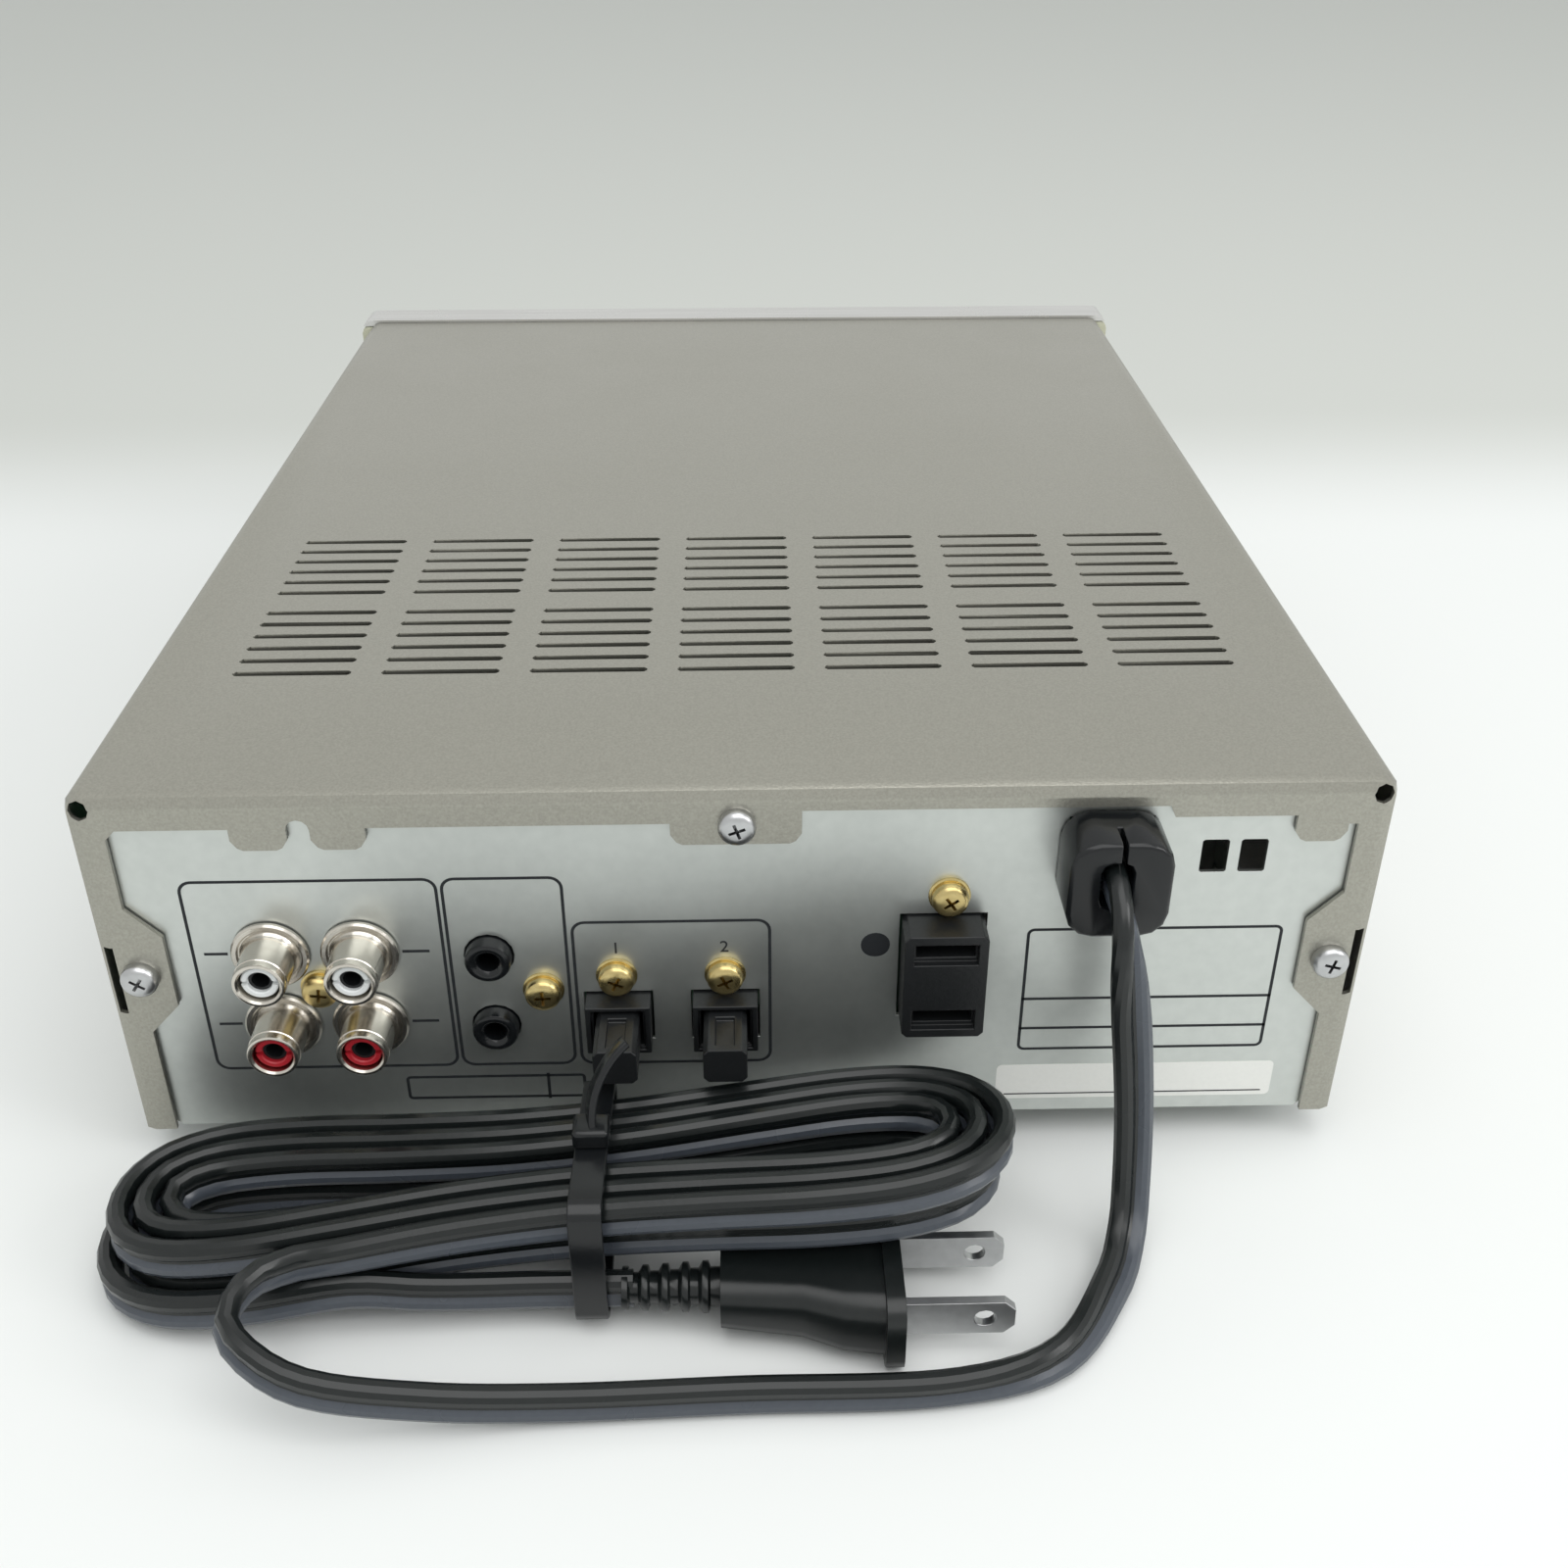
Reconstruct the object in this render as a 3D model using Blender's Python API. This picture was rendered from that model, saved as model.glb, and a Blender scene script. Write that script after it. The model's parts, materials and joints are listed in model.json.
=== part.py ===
"""Minidisc deck with its bundled mains cord, one object for each separate piece.

Metres, +Z up, the front faces -Y. The origin lies under the middle of the deck
at the level of its feet. Rear fittings are placed by their distance from the
middle (positive to the left when seen from behind) and their height.
"""

import math

import bmesh
import bpy
from mathutils import Matrix, Vector

# Casing
COVER_HALF = 0.1002
COVER_LENGTH = 0.247
SIDE_HEIGHT = 0.0653
SHEET = 0.0008
COVER_BEND = 0.003
REAR_BEND = 0.0022
FOOT_HEIGHT = 0.0065
FOOT_RADIUS = 0.009
FOOT_RIM = 0.001
FOOT_INSET_X = 0.022
FOOT_INSET_FRONT = 0.026
FOOT_INSET_REAR = 0.034
CHASSIS_SHEET = 0.001
CHASSIS_WALL = 0.008
CHASSIS_VENT = (0.026, 0.0024)
CHASSIS_VENT_PITCH = 0.0072
CHASSIS_VENTS = 5
CHASSIS_VENT_Y = 0.05
GAP = 0.0003
OVERRUN = 0.002

# Fascia and the moulded frame behind it
FRONT_HALF = 0.1025
FASCIA_DEPTH = 0.011
FASCIA_WALL = 0.0022
FASCIA_RETURN = 0.0016
FASCIA_PROUD = 0.0007
FASCIA_DROP = 0.002
FASCIA_CORNER = 0.0032
FASCIA_EDGE = 0.0008
FRAME_RECESS = 0.0035

# What stands furthest out at the front and the back
KNOB_REACH = 0.009
CAP_REACH = 0.012

# Vent slots in the lid
VENT_LENGTH = 0.0197
VENT_WIDTH = 0.0016
VENT_CORNER = 0.0005
VENT_COLUMNS = 7
VENT_COLUMN_PITCH = 0.02478
VENT_ROWS = 6
VENT_ROW_PITCH = 0.00471
VENT_GROUP_STEP = 0.00858
VENT_FROM_REAR = 0.0389

# Folded flanges round the back opening
FLANGE_TOP = 0.0061
FLANGE_SIDE = 0.0057
FLANGE_CHAMFER = 0.0016
TAB_DROP = 0.0038
TAB_CORNER = 0.0018
TWIN_TAB_LEFT = (0.0675, 0.0761)
TWIN_TAB_RIGHT = (0.0557, 0.0640)
NOTCH_RISE = 0.0015
MIDDLE_TAB = (-0.0098, 0.0101)
RELIEF_RISE = 0.0020
RELIEF_END = 0.0663
ROUND_TAB = (-0.0930, -0.0850)
ROUND_TAB_DROP = 0.0047
SIDE_TAB_WIDTH = 0.0050
SIDE_TAB_LOW = 0.0273
SIDE_TAB_HIGH = 0.0407
SIDE_TAB_SLOPE = 0.0053
SIDE_SLOT_X = 0.0019
SIDE_SLOT = (0.0015, 0.0129)
SIDE_SLOT_HEIGHT = 0.0312
CORNER_RELIEF = 0.0016
CORNER_RELIEF_INSET = 0.0026
COVER_SCREW_X = 0.0942
COVER_SCREW_Z = 0.0385
COVER_SCREW_TOP_Z = 0.0655
COVER_SCREW_HOLE = 0.0016

# Rear fittings
RCA_X = (0.0736, 0.0596)
RCA_Z = (0.0419, 0.0279)
RCA_FLANGE = 0.0061
RCA_FLANGE_DEPTH = 0.0009
RCA_BARREL = 0.00415
RCA_NECK = 0.0033
RCA_BORE = 0.0032
RCA_REACH = 0.0074
RCA_PIN_HOLE = 0.0016
RCA_COLLAR = 0.0046
RCA_HOUSING = (0.0300, 0.0110, 0.0290)
REMOTE_X = 0.0395
REMOTE_Z = (0.0409, 0.0269)
REMOTE_NOSE = 0.00365
REMOTE_BORE = 0.00178
REMOTE_REACH = 0.0014
REMOTE_BODY = (0.0110, 0.0120, 0.0120)
OPTICAL_X = (0.0195, 0.00235)
OPTICAL_Z = 0.0284
OPTICAL_BEZEL = (0.0104, 0.0092)
OPTICAL_REACH = 0.0030
OPTICAL_MOUTH = (0.0078, 0.0070)
OPTICAL_DEPTH = 0.0095
OPTICAL_STEP = 0.0008
CAP_FACE = (0.0069, 0.0064)
CAP_GRIP = (0.0030, 0.0014)
OUTLET_X = -0.0322
OUTLET_Z = 0.0376
OUTLET_SIZE = (0.0131, 0.0197)
OUTLET_REACH = 0.0050
OUTLET_DEPTH = 0.0130
OUTLET_SLOT = (0.0093, 0.0022)
OUTLET_SHELF = (0.0100, 0.0038)
OUTLET_SHELF_DEPTH = 0.0012
OUTLET_PITCH = 0.0127
BUSHING_X = -0.0570
BUSHING_Z = 0.0582
BUSHING_SIZE = (0.0156, 0.0168)
BUSHING_REACH = 0.0090
BUSHING_CORNER = 0.0042
BUSHING_WAIST = 0.0016
BUSHING_POCKET = 0.0050
BUSHING_SLIT = 0.0007
WINDOW_SIZE = (0.0041, 0.0059)
WINDOW_X = (-0.0735, -0.0795)
WINDOW_Z = 0.0578
PANEL_CHAMFER = 0.0042

# Front controls, seen from the front: x to the right
SLOT_X = -0.030
SLOT_Z = 0.056
SLOT_SIZE = (0.0716, 0.0064)
FLAP_OVERLAP = 0.0004
FLAP_THICKNESS = 0.0010
FLAP_PIN = 0.0006
FLAP_PIN_LENGTH = 0.0015
FLAP_HEADROOM = 0.0014
DISPLAY_X = -0.030
DISPLAY_Z = 0.0275
DISPLAY_SIZE = (0.0960, 0.0230)
DISPLAY_RECESS = 0.0004
TUBE_SIZE = (0.0880, 0.0055, 0.0190)
JOG_X = 0.0740
JOG_Z = 0.0450
JOG_RADIUS = 0.0150
JOG_DIMPLE = 0.0042
JOG_DIMPLE_X = 0.0082
LEVEL_X = 0.0740
LEVEL_Z = 0.0185
LEVEL_RADIUS = 0.0065
LEVEL_REACH = 0.0075
KNOB_SHAFT = 0.0030
BUTTON_REACH = 0.0014
BUTTON_TRAVEL = 0.0009
BUTTON_FLANGE = 0.0009
BUTTON_CORNER = 0.0012
BUTTON_SIZES = {
    "power_button": (-0.0885, 0.0275, 0.0100, 0.0100),
    "eject_button": (0.0230, 0.0560, 0.0140, 0.0052),
    "play_button": (0.0400, 0.0380, 0.0150, 0.0060),
    "stop_button": (0.0400, 0.0290, 0.0150, 0.0060),
    "rec_button": (0.0400, 0.0200, 0.0150, 0.0060),
}

# Boards and mains transformer
BOARD = 0.0016
MAIN_BOARD = (0.1320, 0.1180)
MAIN_BOARD_X = 0.0300
MAIN_BOARD_Z = 0.0150
MAIN_BOARD_REAR = 0.0180
BOARD_SPACER = 0.0030
FRONT_BOARD_TOP = 0.0440
FRONT_BOARD_STEP = 0.0110
CORE_SIZE = (0.0500, 0.0180, 0.0420)
CORE_LEG = 0.0140
CORE_YOKE = 0.0080
CORE_X = -0.0640
CORE_Y_FROM_REAR = 0.0560
WINDING_SPREAD = 0.0105

# Minidisc mechanism: places are counted from the disc's middle
DISC_FROM_FRONT = 0.0485
HOLDER_INSIDE = (0.0690, 0.0735, 0.0056)
HOLDER_SHEET = 0.0008
HOLDER_DROP = 0.0054
HOLDER_LEDGE = 0.0080
HOLDER_PIN = 0.0009
HOLDER_PIN_Y = 0.0240
CAM_TRAVEL = 0.0120
CAM_SHEET = 0.0012
CAM_CLEARANCE = 0.0008
CAM_HALF_LENGTH = 0.0400
CAM_HEIGHT = 0.0110
RACK_MODULE = 0.0008
RACK_TEETH = 11
PINION_TEETH = 12
PINION_WIDTH = 0.0016
PINION_Y = 0.0140
PINION_SHAFT = 0.0010
MOTOR_RADIUS = 0.0078
MOTOR_LENGTH = 0.0190
BRACKET_SHEET = 0.0010
BRACKET_LEFT = 0.0389
BRACKET_RIGHT = 0.0620
BRACKET_HALF_LENGTH = 0.0440
BRACKET_Z = 0.0280
BRACKET_RIM = 0.0100
BRACKET_LEG = 0.0080
CHEEK_TOP = 0.0620
BASE_Z = 0.0330
BASE_THICKNESS = 0.0035
BASE_LEFT = 0.0350
BASE_RIGHT = 0.0560
BASE_HALF_LENGTH = 0.0380
BASE_BOSS = 0.0030
SPINDLE_CAN = 0.0110
SPINDLE_HEIGHT = 0.0060
TURNTABLE_RADIUS = 0.0055
TURNTABLE_HEIGHT = 0.0024
TURNTABLE_Z = 0.0446
SPINDLE_SHAFT = 0.0010
SPINDLE_BOSS = 0.0035
ROD_RADIUS = 0.0012
ROD_Z = 0.0402
ROD_Y = (-0.0140, 0.0150)
ROD_SPAN = (0.0020, 0.0520)
ROD_POST = (0.0040, 0.0050)
SLED_START = 0.0080
SLED_SIZE = (0.0190, 0.0380, 0.0064)
SLED_TRAVEL = 0.0160
LENS_RADIUS = 0.0022
LENS_HEIGHT = 0.0010
SCREW_RADIUS = 0.0013
SCREW_Y = -0.0230
SCREW_Z = 0.0410
SCREW_LEAD = 0.0040
SLED_MOTOR_RADIUS = 0.0042
SLED_MOTOR_LENGTH = 0.0170
HEAD_AXIS_X = 0.0415
HEAD_AXIS_Z = 0.0600
HEAD_LEG = 0.0030
HEAD_WIDTH = 0.0070
HEAD_PIN = 0.0009
HEAD_ARM_SHEET = 0.0012
HEAD_ARM_LIFT = 0.0016
HEAD_PAD = 0.0050
HEAD_PAD_DEPTH = 0.0018
LENS_FROM_SLED = 0.0070
MOTOR_BORE_DEPTH = 0.0050
CHEEK_LOW = 0.0100
TOP_WINDOW = 0.0180
TOP_WINDOW_START = 0.0080
BOTTOM_WINDOW_END = 0.0060
RACK_TOOTH = 0.0010
RACK_ADDENDUM = 0.0006
RACK_DEDENDUM = 0.00088
PRESSURE_ANGLE = math.radians(20)

# Flat twin mains cord standing on its edge, and the hank that it is wound into
CORD_THICKNESS = 0.0033
CORD_WIDTH = 0.0066
CORD_RADIUS = CORD_THICKNESS / 2
CORD_EDGE = (CORD_WIDTH - CORD_THICKNESS) / 2
EXIT_X = -0.0563
EXIT_Z = 0.0592
HANK_X = 0.0290
HANK_FROM_REAR = 0.0225
HANK_HALF_LENGTH = 0.0700
HANK_WAIST = 0.0132
HANK_BULGE = 0.0200
HANK_TURNS = 3
HANK_PITCH = 0.0040
HANK_LAYER_STEP = 0.00705
HANK_START = math.radians(65)
HANK_SLOPE_SHARE = 0.105
HANK_LEAN_SHARE = 0.98
HANK_LOOP_POINTS = 24
TIE_X = 0.0225
TIE_WIDTH = 0.0050
TIE_SHEET = 0.0012
TIE_SLACK = 0.0007
TIE_CORNER = 0.0015
PLUG_Y_FROM_REAR = 0.0365
PLUG_Z = 0.0068
PLUG_FLANGE_X = -0.0235
PLUG_FLANGE = (0.0028, 0.0236, 0.0134)
PLUG_BODY = (0.0240, 0.0205, 0.0118)
PLUG_RELIEF = (0.0150, 0.0038)
PLUG_RIBS = 5
PLUG_RIB_DEPTH = 0.0009
BLADE_SIZE = (0.0165, 0.0015, 0.0063)
BLADE_PITCH = 0.0127
BLADE_HOLE = 0.0016
BLADE_HOLE_FROM_TIP = 0.0045

# Proportions of turned and lofted forms
DRAFT_SHARE = 0.08
DIMPLE_SHARE = 0.6
LEAD_STEP_SHARE = 0.9
NECK_SHARES = (0.92, 0.7, 0.56)
NECK_HEIGHT_SHARES = (0.96, 0.88, 0.78)
RELIEF_TAPER_SHARE = 0.2

# Places worked out from the sizes above
REAR = (KNOB_REACH + FASCIA_DEPTH + COVER_LENGTH - CAP_REACH) / 2
FRONT = REAR - COVER_LENGTH
FACE = FRONT - FASCIA_DEPTH
TOP = FOOT_HEIGHT + SIDE_HEIGHT
PANEL_FACE = REAR - SHEET - GAP
PANEL_BACK = PANEL_FACE - SHEET
CHASSIS_TOP = FOOT_HEIGHT + CHASSIS_SHEET
FRAME_BACK = FRONT - GAP
BOARD_FACE = FRONT + BUTTON_TRAVEL + CHASSIS_SHEET
DISC = Vector((SLOT_X, FRONT + DISC_FROM_FRONT, 0))
CAM_LEFT = HOLDER_INSIDE[0] / 2 + HOLDER_SHEET + CAM_CLEARANCE
PINION_RADIUS = RACK_MODULE * PINION_TEETH / 2
RACK_PITCH = math.pi * RACK_MODULE
HOLDER_HEIGHT = HOLDER_INSIDE[2] + 2 * HOLDER_SHEET
HOLDER_BOTTOM = SLOT_Z - HOLDER_HEIGHT / 2
CAM_BOTTOM = SLOT_Z - HOLDER_DROP / 2 - CAM_HEIGHT / 2
CORD_EXIT = Vector((EXIT_X, REAR + BUSHING_REACH - BUSHING_POCKET + GAP, EXIT_Z))
HANK = Vector((HANK_X, REAR + HANK_FROM_REAR, CORD_WIDTH / 2))


def paint(name, color, roughness, metallic=0.0):
    """Make a Principled material."""
    material = bpy.data.materials.new(name)
    material.use_nodes = True
    shader = material.node_tree.nodes["Principled BSDF"]
    shader.inputs["Base Color"].default_value = (*color, 1.0)
    shader.inputs["Roughness"].default_value = roughness
    shader.inputs["Metallic"].default_value = metallic
    return material


def rounded(width, height, corner=0.0, steps=3, middle=(0.0, 0.0)):
    """Outline of a rectangle with round corners, counter-clockwise."""
    if corner <= 0:
        corner, steps = 0.0, 0
    points = []
    for turn, (sx, sy) in enumerate(((1, 1), (-1, 1), (-1, -1), (1, -1))):
        cx = middle[0] + sx * (width / 2 - corner)
        cy = middle[1] + sy * (height / 2 - corner)
        for step in range(steps + 1):
            angle = (turn + (step / steps if steps else 0)) * math.pi / 2
            points.append((cx + corner * math.cos(angle), cy + corner * math.sin(angle)))
    return points


def ring(radius, steps, middle=(0.0, 0.0)):
    """Outline of a circle."""
    angles = [2 * math.pi * step / steps for step in range(steps)]
    return [(middle[0] + radius * math.cos(a), middle[1] + radius * math.sin(a)) for a in angles]


def lift(point, height, axis):
    """Place a point of an outline at a height along an axis."""
    u, v = point
    return {"X": (height, u, v), "Y": (u, height, v), "Z": (u, v, height)}[axis]


def prism(bm, outline, low, high, axis):
    """Add an outline extruded along an axis from low to high."""
    verts = [bm.verts.new(lift(point, low, axis)) for point in outline]
    face = bm.faces.new(verts)
    swept = bmesh.ops.extrude_face_region(bm, geom=[face])["geom"]
    moved = [item for item in swept if isinstance(item, bmesh.types.BMVert)]
    bmesh.ops.translate(bm, verts=moved, vec=Vector(lift((0, 0), high - low, axis)))
    return verts + moved


def solid(outline, low, high, axis):
    """A bmesh that holds one prism."""
    bm = bmesh.new()
    prism(bm, outline, low, high, axis)
    return bm


def block(low, high):
    """A bmesh that holds a box between two corners."""
    bm = bmesh.new()
    made = bmesh.ops.create_cube(bm, size=1.0)["verts"]
    size = Vector(high) - Vector(low)
    bmesh.ops.scale(bm, vec=size, verts=made)
    bmesh.ops.translate(bm, vec=(Vector(high) + Vector(low)) / 2, verts=made)
    return bm


def turned(profile, steps, axis="Z", middle=(0, 0, 0)):
    """Turn a profile of (radius, height) pairs about an axis through middle."""
    bm = bmesh.new()
    verts = [bm.verts.new((radius, 0, height)) for radius, height in profile]
    edges = [bm.edges.new(pair) for pair in zip(verts, verts[1:])]
    if profile[0][0] > 0 and profile[0] != profile[-1]:
        edges.append(bm.edges.new((verts[-1], verts[0])))
    bmesh.ops.spin(bm, geom=verts + edges, axis=(0, 0, 1), cent=(0, 0, 0),
                   angle=2 * math.pi, steps=steps, use_merge=True)
    bmesh.ops.remove_doubles(bm, verts=bm.verts, dist=GAP / 100)
    turn = {
        "X": Matrix.Rotation(math.pi / 2, 3, "Y"),
        "Y": Matrix.Rotation(-math.pi / 2, 3, "X"),
        "Z": Matrix.Identity(3),
    }[axis]
    bmesh.ops.rotate(bm, cent=(0, 0, 0), matrix=turn, verts=bm.verts)
    bmesh.ops.translate(bm, vec=Vector(middle), verts=bm.verts)
    return bm


def soften(bm, width, steps=2, keep=None):
    """Round the sharp edges of a bmesh that keep accepts."""
    sharp = [edge for edge in bm.edges if edge.calc_face_angle(0) > math.radians(40)]
    if keep:
        sharp = [edge for edge in sharp if keep(edge)]
    bmesh.ops.bevel(bm, geom=sharp, offset=width, offset_type="OFFSET", segments=steps,
                    affect="EDGES", profile=0.5, material=-1)
    return bm


def finish(name, bm, material, origin=(0, 0, 0), smooth=None):
    """Turn a bmesh in world places into an object with the given origin."""
    bmesh.ops.recalc_face_normals(bm, faces=bm.faces)
    bmesh.ops.translate(bm, vec=-Vector(origin), verts=bm.verts)
    mesh = bpy.data.meshes.new(name)
    bm.to_mesh(mesh)
    bm.free()
    if material:
        mesh.materials.append(material)
    if smooth:
        mesh.shade_smooth()
        mesh.set_sharp_from_angle(angle=math.radians(smooth))
    made = bpy.data.objects.new(name, mesh)
    made.location = origin
    bpy.context.scene.collection.objects.link(made)
    return made


def combine(made, bm, operation):
    """Add or take away the shape of a bmesh with a Boolean."""
    tool = finish(made.name + "_guide", bm, None)
    tool.hide_render = True
    tool.display_type = "WIRE"
    step = made.modifiers.new(operation.lower(), "BOOLEAN")
    step.object = tool
    step.operation = operation
    step.solver = "EXACT"
    return made


def cut(made, *shapes):
    """Take shapes away from an object."""
    for bm in shapes:
        combine(made, bm, "DIFFERENCE")
    return made


def join(made, *shapes):
    """Fuse shapes to an object."""
    for bm in shapes:
        combine(made, bm, "UNION")
    return made


def many(outlines, low, high, axis):
    """One bmesh with a prism for each outline; the prisms stay apart."""
    bm = bmesh.new()
    for outline in outlines:
        prism(bm, outline, low, high, axis)
    return bm


def casing_shell(inset, front):
    """The cover's outer form, or its inner one, as a loaf with bent edges."""
    half = COVER_HALF - inset
    shell = block((-half, front, FOOT_HEIGHT - OVERRUN * bool(inset)), (half, REAR - inset, TOP - inset))

    def runs_back(edge):
        lowest = min(vert.co.z for vert in edge.verts)
        level = abs(edge.verts[0].co.y - edge.verts[1].co.y) > COVER_LENGTH / 2
        return level and lowest > TOP - inset - SHEET

    def at_rear(edge):
        rear = min(vert.co.y for vert in edge.verts) > REAR - inset - SHEET
        return rear and max(vert.co.z for vert in edge.verts) > TOP - inset - COVER_BEND * 2

    soften(shell, COVER_BEND - inset, 3, runs_back)
    soften(shell, REAR_BEND - inset, 2, at_rear)
    return shell


def flange_opening():
    """Outline of the back opening that the folded flanges leave."""
    edge = TOP - FLANGE_TOP
    side = COVER_HALF - FLANGE_SIDE
    deep = side - SIDE_TAB_WIDTH
    low = FOOT_HEIGHT - OVERRUN
    half = TAB_CORNER / 2
    right = [
        (-side, low),
        (-side, SIDE_TAB_LOW),
        (-deep, SIDE_TAB_LOW + SIDE_TAB_SLOPE),
        (-deep, SIDE_TAB_HIGH + SIDE_TAB_SLOPE),
        (-side, SIDE_TAB_HIGH + 2 * SIDE_TAB_SLOPE),
    ]
    left = [(-x, z) for x, z in reversed(right)]
    tab = edge - TAB_DROP
    round_tab = edge - ROUND_TAB_DROP

    def hanging(span, bottom, start, end):
        low_end, high_end = span
        return [
            (low_end, start),
            (low_end, bottom + TAB_CORNER),
            (low_end + half, bottom + half / 2),
            (low_end + TAB_CORNER, bottom),
            (high_end - TAB_CORNER, bottom),
            (high_end - half, bottom + half / 2),
            (high_end, bottom + TAB_CORNER),
            (high_end, end),
        ]

    notch_low = TWIN_TAB_RIGHT[1]
    notch_high = TWIN_TAB_LEFT[0]
    notch = (notch_high - notch_low) / 2
    notch_top = edge + NOTCH_RISE
    arch = [
        (notch_low + notch - notch * math.cos(math.pi * step / 6),
         notch_top - notch + notch * math.sin(math.pi * step / 6))
        for step in range(1, 6)
    ]
    relief = edge + RELIEF_RISE
    top = [(-side, edge - FLANGE_CHAMFER)]
    top += hanging(ROUND_TAB, round_tab, edge - FLANGE_CHAMFER, edge)
    top += [(-RELIEF_END, edge), (-RELIEF_END + half, relief)]
    top += hanging(MIDDLE_TAB, tab, relief, edge)
    top += hanging(TWIN_TAB_RIGHT, tab, edge, notch_top - notch)
    top += arch
    top += hanging(TWIN_TAB_LEFT, tab, notch_top - notch, edge)
    top += [(side - FLANGE_CHAMFER, edge), (side, edge - FLANGE_CHAMFER)]
    return right + top + left


def vent_outlines():
    """Outlines of all the vent slots, two groups of rows deep."""
    outlines = []
    group_depth = (VENT_ROWS - 1) * VENT_ROW_PITCH + VENT_GROUP_STEP
    middle = (VENT_COLUMNS - 1) / 2
    for group in range(2):
        for row in range(VENT_ROWS):
            y = REAR - VENT_FROM_REAR - group * group_depth - row * VENT_ROW_PITCH
            for column in range(VENT_COLUMNS):
                x = (column - middle) * VENT_COLUMN_PITCH
                outlines.append(rounded(VENT_LENGTH, VENT_WIDTH, VENT_CORNER, 1, (x, y)))
    return outlines


def top_cover(material):
    """Folded steel cover: lid, sides and the flanges round the back opening."""
    cover = finish("top_cover", casing_shell(0, FRONT), material, smooth=35)
    cut(cover, casing_shell(SHEET, FRONT - OVERRUN))
    cut(cover, solid(flange_opening(), REAR - SHEET - OVERRUN, REAR + OVERRUN, "Y"))
    cut(cover, many(vent_outlines(), TOP - COVER_BEND, TOP + OVERRUN, "Z"))
    corner_z = TOP - CORNER_RELIEF_INSET
    corner_x = COVER_HALF - CORNER_RELIEF_INSET
    slot_x = COVER_HALF - SIDE_SLOT_X
    slot_z = SIDE_SLOT_HEIGHT + SIDE_SLOT[1] / 2
    holes = []
    for side in (-1, 1):
        holes.append(ring(CORNER_RELIEF, 8, (side * corner_x, corner_z)))
        holes.append(rounded(*SIDE_SLOT, middle=(side * slot_x, slot_z)))
        holes.append(ring(COVER_SCREW_HOLE, 8, (side * COVER_SCREW_X, COVER_SCREW_Z)))
    holes.append(ring(COVER_SCREW_HOLE, 8, (0, COVER_SCREW_TOP_Z)))
    return cut(cover, many(holes, REAR - COVER_BEND, REAR + OVERRUN, "Y"))


def bottom_chassis(material):
    """Steel tray with low folded walls and two rows of vents."""
    half = COVER_HALF - SHEET - GAP
    back = PANEL_BACK - GAP
    tray = finish("bottom_chassis", block((-half, FRONT, FOOT_HEIGHT), (half, back, FOOT_HEIGHT + CHASSIS_WALL)),
                  material)
    hollow = half - CHASSIS_SHEET
    cut(tray, block((-hollow, FRONT + CHASSIS_SHEET, CHASSIS_TOP), (hollow, REAR, TOP)))
    vents = []
    for side in (-1, 1):
        for row in range(CHASSIS_VENTS):
            y = CHASSIS_VENT_Y + (row - (CHASSIS_VENTS - 1) / 2) * CHASSIS_VENT_PITCH
            vents.append(rounded(*CHASSIS_VENT, middle=(side * COVER_HALF / 2, y)))
    return cut(tray, many(vents, 0, TOP, "Z"))


def foot_places():
    """Middle of each foot on the underside."""
    x = COVER_HALF - FOOT_INSET_X
    front = FRONT + FOOT_INSET_FRONT
    rear = REAR - FOOT_INSET_REAR
    return {
        "foot_front_left": (-x, front),
        "foot_front_right": (x, front),
        "foot_rear_left": (-x, rear),
        "foot_rear_right": (x, rear),
    }


def feet(material):
    """Four moulded feet with a dished underside."""
    for name, (x, y) in foot_places().items():
        top = FOOT_HEIGHT - GAP
        profile = [
            (0, top), (FOOT_RADIUS - FOOT_RIM, top), (FOOT_RADIUS, top - FOOT_RIM),
            (FOOT_RADIUS - FOOT_RIM / 2, FOOT_RIM / 2), (FOOT_RADIUS - FOOT_RIM, 0), (0, 0),
        ]
        finish(name, turned(profile, 20, "Z", (x, y, 0)), material, (x, y, 0), 40)


def rear_panel(material):
    """Plated steel plate with the cut-outs for every fitting."""
    half = COVER_HALF - REAR_BEND
    low = FOOT_HEIGHT
    high = TOP - REAR_BEND
    inner = half - COVER_BEND
    outline = [
        (-half + PANEL_CHAMFER, low), (half - PANEL_CHAMFER, low), (half, low + PANEL_CHAMFER),
        (half, high - COVER_BEND), (inner, high), (-inner, high), (-half, high - COVER_BEND),
        (-half, low + PANEL_CHAMFER),
    ]
    panel = finish("rear_panel", solid(outline, PANEL_BACK, PANEL_FACE, "Y"), material)
    holes = [ring(RCA_COLLAR + GAP, 16, (x, z)) for x in RCA_X for z in RCA_Z]
    holes += [ring(REMOTE_NOSE + GAP, 16, (REMOTE_X, z)) for z in REMOTE_Z]
    holes += [grown(OPTICAL_BEZEL, (x, OPTICAL_Z)) for x in OPTICAL_X]
    holes.append(grown(OUTLET_SIZE, (OUTLET_X, OUTLET_Z)))
    neck = (BUSHING_SIZE[0] - 2 * BUSHING_WAIST, BUSHING_SIZE[1] - 2 * BUSHING_WAIST)
    holes.append(grown(neck, (BUSHING_X, BUSHING_Z)))
    holes += [rounded(*WINDOW_SIZE, GAP, 1, (x, WINDOW_Z)) for x in WINDOW_X]
    return cut(panel, many(holes, PANEL_BACK - OVERRUN, PANEL_FACE + OVERRUN, "Y"))


def grown(size, middle):
    """Outline of a hole that clears a rectangular body."""
    return rounded(size[0] + 2 * GAP, size[1] + 2 * GAP, middle=middle)


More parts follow.
